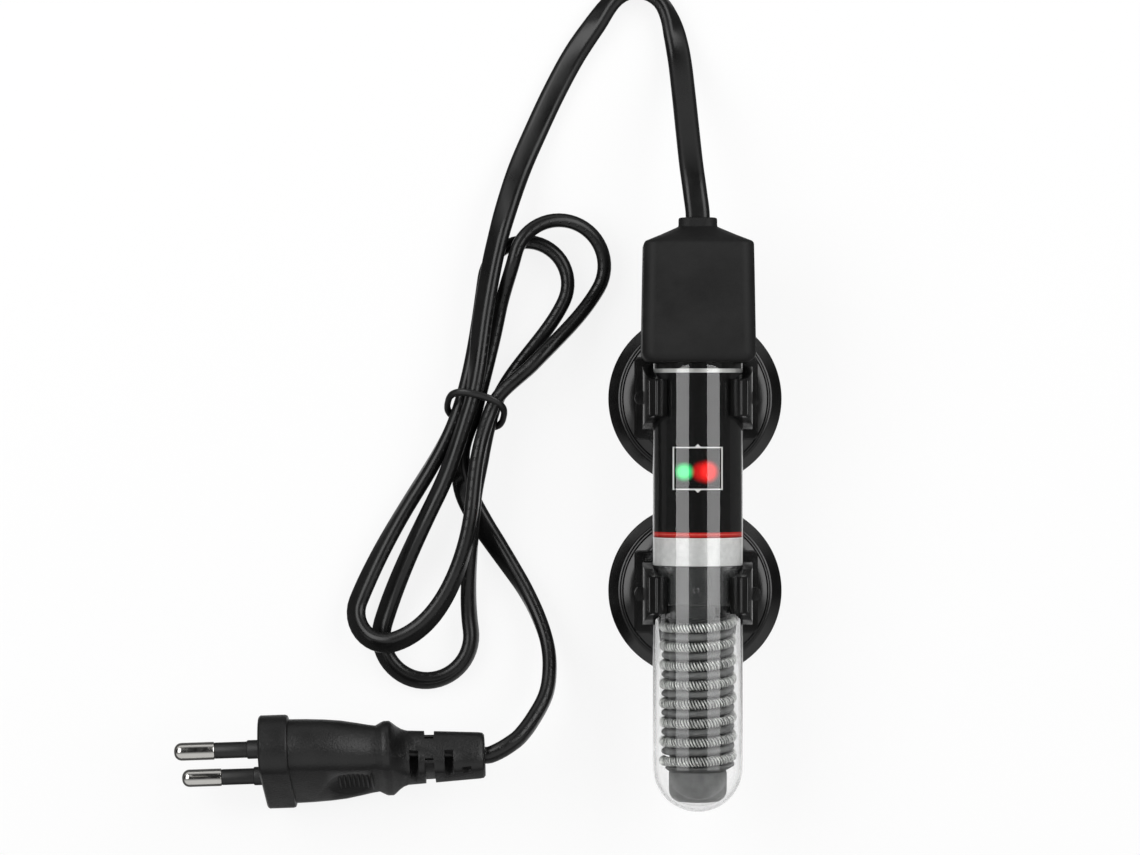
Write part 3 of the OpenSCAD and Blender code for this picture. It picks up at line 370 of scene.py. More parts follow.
sheath = new_material("flat_cord_pvc")
sheath_place = add_node(sheath, "TexCoord", {}).outputs
sheath_uv = split(sheath, sheath_place["UV"])
sheath_cloud = noise(sheath, sheath_place["Object"], 160.0, 4.0)
dot_step = number_math(sheath, "PINGPONG", sheath_uv["X"], 0.0011)
dot_off = number_math(sheath, "SUBTRACT", sheath_uv["Y"], girth * 0.25)
dot_at = add_node(sheath, "CombineXYZ", {0: dot_step, 1: dot_off}).outputs[0]
dot_far = vector_math(sheath, "LENGTH", dot_at)
dot_rise = ranged(sheath, dot_far, 0.0002, 0.00042, 1.0, 0.0, "SMOOTHSTEP")
skin_grain = noise(sheath, sheath_place["Object"], 1400.0, 2.0)
skin_height = number_math(sheath, "MULTIPLY_ADD", skin_grain, 0.12, dot_rise)
surfaced(sheath, {
    "Base Color": toned(sheath, sheath_cloud, 0.3, "#0f0f0f", 0.7, "#171717"),
    "Roughness": ranged(sheath, sheath_cloud, 0.3, 0.7, 0.25, 0.36), "IOR": 1.53,
    "Specular IOR Level": 0.4, "Normal": bumped(sheath, skin_height, 0.5, 0.00012)})
cord_mesh.materials.append(sheath)
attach(supply_cord, "heater")
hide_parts("cord_lead", "cord_hank", "cord_tail")


# The tie: an elastic black PVC band, 1.4 mm thick, round the middle of the hank.
# It leans so that its front is nearer the cap, and its moulded skin has a dull shine.


def on_object(owner):
    """The place on a finished piece, in metres."""
    return add_node(owner, "TexCoord", {}).outputs["Object"]


def mm_off(x, y, z):
    """A move by so many mm."""
    return Matrix.Translation((x / 1000, y / 1000, z / 1000))


def make_piece(name, material, body="heater", stands_for=(), angle=35):
    """Puts the active object at the origin, shades it and hands it to its body."""
    made = bpy.context.object
    bpy.ops.object.transform_apply(location=True, rotation=True, scale=True)
    made.name = made.data.name = name
    made.data.materials.clear()
    made.data.materials.append(material)
    bpy.ops.object.shade_smooth_by_angle(angle=math.radians(angle))
    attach(made, body)
    if stands_for:
        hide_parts(*stands_for)
    bpy.ops.object.select_all(action="DESELECT")
    return made


def moulded(name, dark, light, rough, grain, depth, ior=1.5, shine=0.5):
    """A moulded plastic or rubber: two near colours, roughness, then grain and depth in mm."""
    made = new_material(name)
    place = on_object(made)
    cloud = noise(made, place, 110.0, 5.0, 0.6)
    texture = noise(made, place, 1000 / grain, 3.0, 0.55)
    return surfaced(made, {
        "Base Color": toned(made, cloud, 0.35, dark, 0.65, light),
        "Roughness": ranged(made, cloud, 0.3, 0.7, rough - 0.05, rough + 0.06), "IOR": ior,
        "Specular IOR Level": shine, "Normal": bumped(made, texture, 0.7, depth / 1000)})


band_across, band_up, band_thick, band_mid = 6.5, 6.3, 1.45, 10
squareness, forward_lean = 0.72, math.tan(math.radians(28))
bpy.ops.mesh.primitive_torus_add(major_segments=72, minor_segments=12,
                                 major_radius=band_mid / 1000, minor_radius=band_thick / 2000)
for vertex in bpy.context.object.data.vertices:
    angle = math.atan2(vertex.co.y, vertex.co.x)
    out = math.hypot(vertex.co.x, vertex.co.y) * 1000 - band_mid
    c, s = math.cos(angle), math.sin(angle)
    across = math.copysign(abs(c) ** squareness, c) * (band_across + out)
    up = math.copysign(abs(s) ** squareness, s) * (band_up + out)
    vertex.co = Vector((across, up * forward_lean + vertex.co.z * 1000, up)) / 1000
bpy.context.object.data.transform(mm_off(-49.7, 23.4, 6.9)
                                  @ Matrix.Rotation(math.radians(-15), 4, "Z"))
cord_band = make_piece("cord_band", moulded("band_rubber", "#141414", "#1c1c1c", 0.36, 0.5, 0.02),
                       stands_for=("cord_tie",), angle=60)


# The plug: a flat two-pin plug moulded in black PVC round a stiff insert, with a collar at its
# face, a pinched waist with a ribbed grip on each broad side, and a slotted strain relief.
# The mould is spark-eroded, which leaves an even, fine, matt grain.


def lofted(sections, segments=6):
    """A closed moulding standing on Z through [height, width, depth, corner radius] outlines."""
    bpy.ops.object.select_all(action="DESELECT")
    bpy.ops.mesh.primitive_plane_add(size=1)
    bpy.ops.object.mode_set(mode="EDIT")
    bpy.ops.mesh.select_all(action="SELECT")
    bpy.ops.mesh.delete(type="VERT")
    for height, width, depth, radius in sections:
        bpy.ops.mesh.select_all(action="DESELECT")
        bpy.ops.mesh.primitive_plane_add(size=1, location=(0, 0, height / 1000))
        bpy.ops.transform.resize(value=(width / 1000, depth / 1000, 1),
                                 center_override=(0, 0, height / 1000))
        bpy.ops.mesh.bevel(offset=radius / 1000, segments=segments, affect="VERTICES")
        bpy.ops.mesh.delete(type="ONLY_FACE")
    bpy.ops.object.mode_set(mode="OBJECT")
    return edited(bpy.context.object, (bpy.ops.mesh.bridge_edge_loops, {}),
                  (bpy.ops.mesh.fill_holes, {"sides": 0}))


def apply_modifier(target, kind, settings):
    """Adds a modifier with its settings and applies it."""
    pick(target)
    modifier = target.modifiers.new(kind.lower(), kind)
    for key, value in settings.items():
        setattr(modifier, key, value)
    bpy.ops.object.modifier_apply(modifier=modifier.name)


def rounded(target, width, segments, sharper_than):
    """Rounds the edges that turn by more than an angle, by a width in mm."""
    apply_modifier(target, "BEVEL", {"width": width / 1000, "segments": segments,
                                     "limit_method": "ANGLE",
                                     "angle_limit": math.radians(sharper_than)})


def cut_away(target, cutter, operation="DIFFERENCE"):
    """Cuts one shape out of another, or joins them, and removes the cutter."""
    apply_modifier(target, "BOOLEAN", {"object": cutter, "operation": operation,
                                       "solver": "EXACT"})
    bpy.data.meshes.remove(cutter.data)


def block(x, y, z, rounding=0.0, segments=2):
    """A block between two values in mm on each axis, with bevelled edges."""
    bpy.ops.object.select_all(action="DESELECT")
    bpy.ops.mesh.primitive_cube_add(size=1, location=[sum(v) / 2000 for v in (x, y, z)],
                                    scale=[(v[1] - v[0]) / 1000 for v in (x, y, z)])
    made = bpy.context.object
    bpy.ops.object.transform_apply(location=True, rotation=True, scale=True)
    if rounding:
        apply_modifier(made, "BEVEL", {"width": rounding / 1000, "segments": segments,
                                       "limit_method": "NONE"})
    return made


def joined(parts):
    """One object from several."""
    bpy.ops.object.select_all(action="DESELECT")
    for part in parts:
        part.select_set(True)
    bpy.context.view_layer.objects.active = parts[0]
    bpy.ops.object.join()
    return parts[0]


def ellipsoid(half_sizes, middle, segments, rings):
    """A ball stretched to its half sizes in mm, round its middle."""
    bpy.ops.mesh.primitive_uv_sphere_add(segments=segments, ring_count=rings, radius=1)
    made = bpy.context.object
    made.scale = [size / 1000 for size in half_sizes]
    bpy.ops.object.transform_apply(scale=True)
    made.data.transform(mm_off(*middle))
    return made


along_plug = Matrix(((0, 0, 1, 0), (0, 1, 0, 0), (-1, 0, 0, 0), (0, 0, 0, 1)))
plug_to_world = Matrix.Scale(0.001, 4) @ plug_place @ Matrix.Scale(1000, 4)
flange_w, flange_t = 35.3, 13.7
plug_outline = [
    (6.0, 32.8, 11.9, 5.3), (10.5, 32.2, 11.9, 5.3), (14.5, 31.2, 11.75, 5.25),
    (18.0, 29.8, 11.45, 5.15), (21.5, 27.2, 10.85, 4.9), (24.0, 25.1, 10.35, 4.65),
    (25.6, 24.2, 10.1, 4.5), (27.0, 26.4, 11.2, 5.0), (27.5, 26.9, 11.5, 5.1),
    (28.7, 26.9, 11.5, 5.1), (29.3, 25.6, 10.9, 4.9), (30.2, 21.5, 10.55, 4.8),
    (31.2, 17.6, 10.4, 4.7), (32.4, 14.8, 10.4, 4.5), (34.0, 13.2, 10.4, 4.3)]
plug_back = lofted(plug_outline)
plug_body = lofted([
    (0, flange_w - 1.1, flange_t - 1.1, 5.7), (0.15, flange_w - 0.5, flange_t - 0.5, 5.95),
    (0.5, flange_w, flange_t, 6.15), (5.9, flange_w, flange_t, 6.15),
    (6.4, flange_w - 0.3, flange_t - 0.3, 6.05), (6.6, flange_w - 1.0, flange_t - 1.0, 5.8)],
    segments=9)
relief = lofted([(32.0, 13.1, 10.4, 3.4), (40.5, 12.0, 9.7, 3.2), (48.4, 10.9, 9.0, 3.0),
                 (49.2, 10.5, 8.7, 2.8), (49.6, 9.6, 7.9, 2.6)])
for part in (plug_back, plug_body, relief):
    part.data.transform(along_plug)
dish_x, dish_y, dish_long, dish_deep = 20.5, 8.0, 8, 3.4
for top in (1, -1):
    cut_away(plug_back, ellipsoid((dish_long, dish_deep, 11), (dish_x, top * dish_y, 0), 96, 64))
cut_away(plug_body, plug_back, "UNION")
cut_away(plug_body, relief, "UNION")
relief_slots = (((32.95, 34.95), (-9, -0.5), (1.6, 9)), ((40.7, 42.7), (-9, -0.4), (1.3, 9)),
                ((44.6, 46.6), (-9, -3.7), (1.8, 4.4)), ((36.25, 38.45), (-9, -3.3), (-9, 9)),
                ((36.35, 38.35), (-2.7, -2.3), (-9, 9)))
for half_turn in (0, math.pi):
    for x, y, z in relief_slots:
        slot_cutter = block(x, y, z)
        if half_turn:
            slot_cutter.data.transform(Matrix.Rotation(half_turn, 4, "X"))
        cut_away(plug_body, slot_cutter)
rounded(plug_body, 0.22, 2, 38)
grip_ribs = []
for top in (1, -1):
    for k in range(8):
        x = 17.2 + 1.02 * k
        y = dish_y - dish_deep * math.sqrt(1 - ((x - dish_x) / dish_long) ** 2)
        grip_ribs.append(ellipsoid((0.36, 0.6, 6.2), (x, top * y, 0), 16, 12))
joined([plug_body] + grip_ribs).data.transform(plug_to_world)
plug_moulding = make_piece(
    "plug_moulding", moulded("plug_pvc", "#131313", "#1d1d1d", 0.38, 0.5, 0.16, 1.5, 0.42),
    stands_for=("plug_body",))


# The pins: two 4 mm brass pins plated with bright nickel, turned with a rounded end, each with a
# black plastic sleeve on the half next to the plug, so that a half-drawn plug can't be touched.


def spun(profile, steps=64):
    """A turned shape from [radius, height] points in mm, standing on Z, closed at its ends."""
    made = new_shape("turned", [(r / 1000, 0, h / 1000) for r, h in profile],
                     [(i, i + 1) for i in range(len(profile) - 1)], [])
    full_turn = {"steps": steps, "angle": 2 * math.pi, "center": (0, 0, 0), "axis": (0, 0, 1)}
    return edited(made, (bpy.ops.mesh.spin, full_turn),
                  (bpy.ops.mesh.remove_doubles, {"threshold": 0.000001}))


pin_to_plug = Matrix.Rotation(math.radians(-90), 4, "Y")
nickel = new_material("nickel_plated_brass")
nickel_marks = noise(nickel, on_object(nickel), 900.0, 5.0, 0.7)
surfaced(nickel, {
    "Base Color": linear("#d2d0cc"), "Metallic": 1.0,
    "Roughness": ranged(nickel, nickel_marks, 0.35, 0.7, 0.09, 0.24),
    "Normal": bumped(nickel, nickel_marks, 0.25, 0.00003)})
sleeve_plastic = moulded("sleeve_polyamide", "#111111", "#191919", 0.42, 0.4, 0.02)
pin_profile = [(0, -9.3), (1.99, -9.3), (1.99, -2.3), (1.3, -2.3), (1.3, 10.0), (1.75, 10.0),
               (1.9, 10.06), (2.0, 10.25), (2.0, 17.3)]
pin_profile += [(0.3 + r, 17.3 + h) for r, h in arc(1.7, 10, 80, 7)] + [(0.25, 19.0), (0, 19.0)]
sleeve_profile = [(1.32, -2.2), (2.09, -2.2), (2.09, 2.55), (2.0, 2.75), (1.82, 2.85), (1.8, 3.1),
                  (1.8, 9.85), (1.74, 9.98), (1.32, 9.98), (1.32, -2.2)]
for name, node, height in (("upper", "left", 9.5), ("lower", "right", -9.5)):
    for kind, profile, finish, slot in (
            ("pin", pin_profile, nickel, "pin_metal"),
            ("sleeve", sleeve_profile, sleeve_plastic, "sleeve_plastic")):
        spun(profile, 48).data.transform(plug_to_world @ mm_off(0, 0, height) @ pin_to_plug)
        make_piece(name + "_plug_" + kind, finish,
                                      stands_for=(node + "_" + kind,), angle=40)


# The heating element's core: a ridged rod of cordierite, pressed and fired, with a plain foot.
# Its round helical ridges keep the turns of the wire apart. Fired clay is grey, matt and dusty;
# its grooves are painted darker and its ridge tops lighter, as painted shade.
axis_h = 23.0
to_axis = mm_off(0, 0, axis_h) @ Matrix.Rotation(math.radians(-90), 4, "X")
nose_y, coil_top, coil_pitch, coil_turns = -23.1, -23.7, 4.2, 7.5
coil_r, coil_wire = 7.6, 2.2
foot_top = -56.99


def turns_down(angle):
    """How many turns the winding has come down at an angle; it drops mostly at the back right."""
    lag = math.radians(30)
    return (angle + (math.sin(angle + lag) - math.sin(lag))) / (2 * math.pi)


rod_r, rod_steps = 6.3, 150
ridge_high, ridge_wide, foot_fade, nose_fade = 1.85, 0.92, 1.4, 1.8
rod_profile = [(rod_r, foot_top + (nose_y - foot_top) * k / rod_steps)
               for k in range(rod_steps + 1)]
core_rod = spun([(0, foot_top)] + rod_profile + [(0, nose_y)], 72)
for vertex in core_rod.data.vertices:
    x, y, z = vertex.co * 1000
    radius = math.hypot(x, y)
    if radius < rod_r - 0.3:
        continue
    angle = math.atan2(-y, x) % (2 * math.pi)
    phase = ((coil_top - z) / coil_pitch - turns_down(angle)) % 1
    off = abs(phase - 0.5) * coil_pitch / ridge_wide
    fade = min(1, (z - foot_top) / foot_fade, (nose_y - z) / nose_fade)
    ridge = ridge_high * math.sqrt(max(0.0, 1 - off ** 2)) * max(fade, 0)
    swell = (radius + ridge) / radius
    vertex.co.x *= swell
    vertex.co.y *= swell
core_foot = spun([(0, -63.39), (4.45, -63.39), (5.3, -63.2), (5.95, -62.7), (6.35, -61.9),
                  (6.45, -61.2), (6.45, -57.2), (6.3, -56.9), (0, -56.9)], 72)
joined([core_rod, core_foot]).data.transform(to_axis)


def off_axis(owner, place):
    """How far a place is from the middle of the heater, in metres."""
    from_axis = vector_math(owner, "SUBTRACT", place, (0, 0, axis_h / 1000))
    return vector_math(owner, "LENGTH", vector_math(owner, "MULTIPLY", from_axis, (1, 0, 1)))


cordierite = new_material("fired_cordierite")
clay_place = on_object(cordierite)
clay_tone = toned(cordierite, noise(cordierite, clay_place, 220.0, 6.0, 0.7),
                  0.3, "#505050", 0.72, "#767675")
# Painted shade: the clay's colour darkens deep in the grooves and lightens on the ridge tops; the
# foot is left out of it.
clay_painted_shade = ranged(cordierite, off_axis(cordierite, clay_place), 0.0066, 0.0079, 0.5, 1.1)
clay_foot = ranged(cordierite, split(cordierite, clay_place)["Y"], -0.0572, -0.0562, 1.0, 0.0)
clay_pits = noise(cordierite, clay_place, 2200.0, 3.0)
surfaced(cordierite, {
    "Base Color": vector_math(cordierite, "SCALE", clay_tone,
                              number_math(cordierite, "MAXIMUM", clay_painted_shade, clay_foot)),
    "Roughness": 0.82, "IOR": 1.55, "Normal": bumped(cordierite, clay_pits, 0.8, 0.00008)})
make_piece("ceramic_former", cordierite, stands_for=("ceramic_core",), angle=60)


# The winding: fine iron-chromium-aluminium wire coiled on itself to 2.2 mm, then laid in the
# core's grooves, seven and a half turns. Drawn and heat-treated, it is grey with a dull metal
# glint. Its colour is painted darker towards the groove and lighter on the outside of each turn,
# as painted shade and painted highlight.


def wire(points, thickness):
    """A round wire through points in mm, as a closed tube."""
    curve = bpy.data.curves.new("wire", "CURVE")
    curve.dimensions = "3D"
    curve.bevel_depth = thickness / 2000
    curve.bevel_resolution = 0
    curve.use_fill_caps = True
    spline = curve.splines.new("POLY")
    spline.points.add(len(points) - 1)
    for spot, point in zip(spline.points, points):
        spot.co = (*(Vector(point) / 1000), 1)
    made = bpy.data.objects.new("wire", curve)
    bpy.context.collection.objects.link(made)
    pick(made)
    bpy.ops.object.convert(target="MESH")


fine_pitch, fine_wire, fine_lean, curl_points = 0.64, 0.38, 0.3, 12
turn_length = 2 * math.pi * coil_r
curls = round(coil_turns * turn_length / fine_pitch)
fine_points = []
side = Vector((0, 1, 0))
for k in range(curls * curl_points + 1):
    angle = 2 * math.pi * coil_turns * k / (curls * curl_points)
    curl = 2 * math.pi * k / curl_points
    out = Vector((math.cos(angle), 0, math.sin(angle)))
    whole, part = divmod(angle, 2 * math.pi)
    y = coil_top - coil_pitch * (whole + turns_down(part))
    centre = Vector((0, y, axis_h)) + coil_r * out
    ahead = Vector((-math.sin(angle), 0, math.cos(angle)))
    fine_points.append(centre + (coil_wire - fine_wire) / 2 * (
        math.cos(curl) * out + math.sin(curl) * side) + fine_lean * math.sin(curl) * ahead)
wire(fine_points, fine_wire)
resistance_wire = new_material("heat_treated_fecral_wire")
wire_place = on_object(resistance_wire)
wire_cloud = noise(resistance_wire, wire_place, 420.0, 4.0)
wire_tone = toned(resistance_wire, wire_cloud, 0.3, "#b2b2b0", 0.7, "#e2e2df")
# Painted shade and highlight: the wire's colour darkens towards the core and brightens on its outer
# side.
wire_painted_shade = ranged(resistance_wire, off_axis(resistance_wire, wire_place),
                   (coil_r - 0.1) / 1000, (coil_r + 1.05) / 1000, 0.42, 1.22, "SMOOTHSTEP")
surfaced(resistance_wire, {
    "Base Color": vector_math(resistance_wire, "SCALE", wire_tone, wire_painted_shade), "Metallic": 0.4,
    "Roughness": ranged(resistance_wire, wire_cloud, 0.3, 0.7, 0.2, 0.34)})
make_piece("heating_winding", resistance_wire, stands_for=("heating_coil",),
           angle=80)


# The leads and terminals: tinned copper leads lie through the holder and the core, and brass
# terminals join them to the ends of the winding. Only their edges show between the parts.


def dress(node, material):
    """Gives a CAD node that keeps its shape its finish."""
    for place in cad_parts[node].material_slots:
        place.material = material


def plain_metal(name, dark, light, rough, scratch_mm):
    """A bare metal part with a faintly uneven colour and fine scratches scratch_mm apart."""
    made = new_material(name)
    place = on_object(made)
    lines = noise(made, place, 1000 / scratch_mm, 2.0)
    return surfaced(made, {
        "Base Color": toned(made, noise(made, place, 500.0, 4.0), 0.3, dark, 0.7, light),
        "Metallic": 1.0, "Roughness": ranged(made, lines, 0.3, 0.7, rough - 0.08, rough + 0.08),
        "Normal": bumped(made, lines, 0.3, 0.00003)})


dress("heater_leads", plain_metal("tinned_copper", "#b9b9b6", "#d6d5d1", 0.3, 0.15))
dress("element_terminals", plain_metal("turned_brass", "#b08b4a", "#cfae6b", 0.32, 0.12))


# The element holder: a stepped plug moulded in black PPS that centres the element in the glass.
# PPS has a high refractive index, so its moulded skin is bright. The lead to the winding comes
# out of a notch at its lower right edge.
holder = spun([(0, nose_y), (7.9, nose_y), (8.15, nose_y + 0.1), (8.2, nose_y + 0.35),
               (8.2, -20.1), (8.35, -19.95), (8.8, -19.9), (9.0, -19.7), (9.0, -12.1),
               (8.9, -12.0), (8.9, -11.8), (9.0, -11.7), (9.0, -11.5), (8.85, -11.3),
               (0, -11.3)], 96)
holder.data.transform(to_axis)
cut_away(holder, block((3.4, 9.6), (-24, -20.3), (axis_h - 1.4, axis_h + 10), 0.6, 3))
bpy.ops.mesh.primitive_torus_add(major_radius=0.00055, minor_radius=0.00012, major_segments=24,
                                 minor_segments=8,
                                 location=(-0.0006, -0.0166, (axis_h + 8.98) / 1000))
gate_ring = bpy.context.object
bpy.ops.object.transform_apply(location=True)
joined([holder, gate_ring])
make_piece("holder_moulding",
           moulded("holder_pps", "#2b2b2b", "#373737", 0.2, 0.4, 0.01, 1.85, 0.8),
           stands_for=("element_holder",))


# The circuit board: glass-fibre laminate under green solder resist, standing behind the label
# with the two lamps and their resistors on its front and the thermostat on its back.
dress("circuit_board",
      moulded("solder_resist_laminate", "#1c4d2c", "#256438", 0.35, 0.4, 0.02))
dress("lamp_resistors", moulded("lacquered_resistor", "#c9ae82", "#d8c29a", 0.35, 0.5, 0.02))


# The lamps: two epoxy light-emitting diodes on thin legs, a 3 mm green one and a larger red one.
# Their domes end just under the label's window, and both are lit.


def lit_epoxy(name, body, glow, strength):
    """Tinted clear epoxy that glows all over, a little unevenly."""
    made = new_material(name)
    haze = noise(made, on_object(made), 700.0, 3.0)
    return surfaced(made, {
        "Base Color": linear(body), "Roughness": 0.18, "IOR": 1.54, "Emission Color": linear(glow),
        "Emission Strength": ranged(made, haze, 0.3, 0.7, strength * 0.85, strength * 1.15)})


lamp_y, lamp_top = 9.3, 6.4
for name, x, d, finish, slot in (
        ("green_lamp", -3.3, 3.0, lit_epoxy("green_epoxy", "#2fae5a", "#39e070", 1.6),
         "green_lens"),
        ("red_lamp", 1.3, 4.8, lit_epoxy("red_epoxy", "#b01f1c", "#ff2a22", 1.6), "red_lens")):
    base = lamp_top - d * 1.3
    dome = [(r, lamp_top + h) for r, h in arc(d / 2, 0, 80, 8)] + [(0, lamp_top + d / 2)]
    lens = spun([(0, base), (d / 2 + 0.2, base), (d / 2 + 0.25, base + 0.05),
                 (d / 2 + 0.25, base + 0.75), (d / 2 + 0.2, base + 0.8), (d / 2, base + 0.8)]
                + dome, 48)
    legs = [spun([(0, -1), (0.3, -1), (0.3, base + 0.1), (0, base + 0.1)], 12) for _ in (0, 1)]
    for leg, side in zip(legs, (-1, 1)):
        leg.data.transform(mm_off(0, side * d / 4, 0))
    joined([lens] + legs).data.transform(mm_off(x, lamp_y, axis_h))
    make_piece(name + "_epoxy", finish, stands_for=(name,), angle=50)


# The thermostat: a pressed steel frame with a bimetal blade riveted to one end, silver contacts,
# a small magnet that makes the blade snap, and a brass screw that sets the temperature.
silver = plain_metal("fine_silver", "#c8c8c4", "#e2e1dc", 0.25, 0.1)
dress("thermostat_frame", plain_metal("pressed_steel", "#96989b", "#b4b6b8", 0.3, 0.2))
dress("bimetal_blade", plain_metal("rolled_bimetal", "#a58a63", "#c0a67d", 0.33, 0.15))
dress("fixed_contact", silver)
dress("moving_contact", silver)
dress("snap_magnet", moulded("sintered_ferrite", "#2c2c30", "#3d3d42", 0.6, 0.2, 0.02))
dress("setting_screw", plain_metal("screw_brass", "#b8954f", "#d2b372", 0.28, 0.12))


# The label: a printed polyester film stuck to the inside of the glass, black with a silver line
# near its top, and a red and a silver band at its foot. A window is left in front of the lamps.


def banded(owner, place, low, high, starts):
    """Colours or greys that change along Y, each from its own start in mm up to the next."""
    share = ranged(owner, split(owner, place)["Y"], low / 1000, high / 1000, 0.0, 1.0)
    ramp = add_node(owner, "ValToRGB", {0: share})
    ramp.color_ramp.interpolation = "CONSTANT"
    for k, (y, shade) in enumerate(starts):
        at = (y - low) / (high - low)
        stop = ramp.color_ramp.elements[k] if k < 2 else ramp.color_ramp.elements.new(at)
        stop.position = at
        stop.color = linear(shade) if isinstance(shade, str) else (shade, shade, shade, 1)
    return ramp.outputs[0]


label_low, label_high, label_out, label_in = -11.2, 34.8, 9.22, 8.95
red_at, silver_at, line_at, line_wide = -3.95, -5.3, 31.4, 0.85
window_half, window_low, window_high = 5.0, 6.0, 14.6
label = spun([(label_in, label_low), (label_out, label_low), (label_out, label_high),
              (label_in, label_high), (label_in, label_low)], 160)
label.data.transform(to_axis)
cut_away(label, block((-window_half, window_half), (window_low, window_high),
                      (axis_h, axis_h + 10)))
film = new_material("printed_polyester_film")
film_place = on_object(film)
film_ink = banded(film, film_place, -11.5, 34.5, [
    (label_low - 0.3, "#dadad9"), (silver_at, "#f1f1f0"), (silver_at + 0.16, "#8c1713"),
    (silver_at + 0.5, "#c8302c"), (silver_at + 0.95, "#e06058"), (silver_at + 1.1, "#c62a26"),
    (red_at + 0.05, "#0e0e0e"), (line_at, "#d6d6d4"), (line_at + line_wide, "#0e0e0e")])
film_metal = banded(film, film_place, -11.5, 34.5, [
    (label_low - 0.3, 0.45), (silver_at + 0.16, 0.0), (line_at, 0.8), (line_at + line_wide, 0.0)])
film_mottle = ranged(film, noise(film, film_place, 900.0, 3.0), 0.3, 0.7, 0.92, 1.06)
film_waves = noise(film, film_place, 130.0, 2.0)
surfaced(film, {
    "Base Color": vector_math(film, "SCALE", film_ink, film_mottle), "Metallic": film_metal,
    "Roughness": 0.36, "IOR": 1.6, "Specular IOR Level": 0.1,
    "Normal": bumped(film, film_waves, 0.35, 0.0002)})
make_piece("label_film", film, stands_for=("label_sleeve",), angle=50)


# The window and its printed frame: the film is smoke-tinted in front of the lamps, and the lamps'
# light in it is painted on the film as two soft glowing spots. A thin white line with a small
# arrow above and below it frames the window.


def laid_on_label(flat):
    """Bends a flat piece, drawn in X and Y with Z as height, onto the rolled film."""
    edited(flat, (bpy.ops.mesh.subdivide, {"number_cuts": 9}))
    for vertex in flat.data.vertices:
        x, y, z = vertex.co * 1000
        vertex.co.z = (axis_h + math.sqrt((label_out + z) ** 2 - x ** 2)) / 1000
    return flat


smoke = new_material("smoked_film_painted_glow")
smoke_place = on_object(smoke)
# Painted glow: emission painted on the film as soft spots round each lamp, standing in for their
# light.
glow = (0, 0, 0)
for blend, x, reach, shade, strength in (
        ("MAXIMUM", -3.2, 2.2, "#3ff08a", 0.95), ("ADD", -3.2, 1.3, "#7dffb4", 0.35),
        ("MAXIMUM", 0.7, 2.45, "#e01010", 0.9), ("MAXIMUM", 1.75, 2.65, "#ff1a18", 1.0),
        ("ADD", 1.9, 1.5, "#ff6a5c", 0.15)):
    off = vector_math(smoke, "SUBTRACT", smoke_place, (x / 1000, 0.0096, (axis_h + 9) / 1000))
    far = vector_math(smoke, "LENGTH", vector_math(smoke, "MULTIPLY", off, (1, 1, 0)))
    fall = ranged(smoke, far, reach * 0.0004, reach * 0.00118, strength, 0.0, "SMOOTHERSTEP")
    spread = vector_math(smoke, "SCALE", linear(shade)[:3], fall)
    glow = vector_math(smoke, blend, glow, spread)
surfaced(smoke, {
    "Base Color": toned(smoke, noise(smoke, smoke_place, 300.0, 4.0), 0, "#101010", 1, "#1a1a1a"),
    "Roughness": 0.25, "IOR": 1.6, "Specular IOR Level": 0.1, "Emission Color": glow,
    "Emission Strength": 1.0})
gap = 0.02
laid_on_label(block((gap - window_half, window_half - gap),
                    (window_low + gap, window_high - gap), (-0.2, -gap)))
make_piece("window_film", smoke, angle=60)

frame_left, frame_right, frame_low, frame_high, line_w = -5.6, 5.1, 5.6, 15.1, 0.3
ink_thick = 0.02
lines = [((frame_left, frame_right), (frame_low, frame_low + line_w)),
         ((frame_left, frame_right), (frame_high - line_w, frame_high)),
         ((frame_left, frame_left + line_w), (frame_low, frame_high)),
         ((frame_right - line_w, frame_right), (frame_low, frame_high))]
parts = [laid_on_label(block(x, y, (0.0, ink_thick))) for x, y in lines]
frame_mid = (frame_left + frame_right) / 2
for base, tip in ((frame_high - 0.1, frame_high + 0.62), (frame_low + 0.1, frame_low - 0.62)):
    bpy.ops.mesh.primitive_cylinder_add(vertices=3, radius=0.001, depth=ink_thick / 1000)
    arrow = bpy.context.object
    corners = [(-0.75, base), (0.75, base), (0.0, tip)]
    for vertex in arrow.data.vertices:
        x, y = corners[vertex.index // 2]
        vertex.co = ((frame_mid + x) / 1000, y / 1000, max(0.0, 2 * vertex.co.z))
    parts.append(laid_on_label(arrow))
joined(parts)
make_piece("window_frame", moulded("white_screen_ink", "#d9d9d7", "#eeeeec", 0.4, 0.3, 0.01),
           angle=60)


# The glass envelope: a borosilicate tube, 20 mm across and 0.8 mm thick, drawn and closed to a
# round tip in a flame. It is clear, with a faint green-grey edge, and lets light through to
# the parts inside it.
tube_r, tube_in, tip_y, mouth_y = 10.0, 9.2, -66.0, 51.8
outer = [(r, tip_y + tube_r + h) for r, h in arc(tube_r, -90, -2, 22)]
outer += [(tube_r, tip_y + tube_r), (tube_r, mouth_y - 0.3), (tube_r - 0.12, mouth_y - 0.06),
          (tube_r - 0.4, mouth_y)]
inner = [(tube_in + 0.12, mouth_y - 0.06), (tube_in, mouth_y - 0.3), (tube_in, tip_y + tube_r)]
inner += [(r, tip_y + tube_r + h) for r, h in arc(tube_in, -2, -90, 22)]
spun(outer + inner, 128).data.transform(to_axis)
glass = new_material("borosilicate_glass")
smear = noise(glass, on_object(glass), 90.0, 5.0, 0.65)
clear_glass = add_node(glass, "BsdfPrincipled", {
    "Base Color": (1, 1, 1, 1), "Roughness": ranged(glass, smear, 0.45, 0.75, 0.0, 0.06),
    "IOR": 1.47, "Transmission Weight": 1.0, "Coat Weight": 0.5}).outputs[0]
lamps_through = add_node(glass, "BsdfTransparent", {"Color": linear("#eef1f0")})
shadow_ray = add_node(glass, "LightPath", {}).outputs["Is Shadow Ray"]
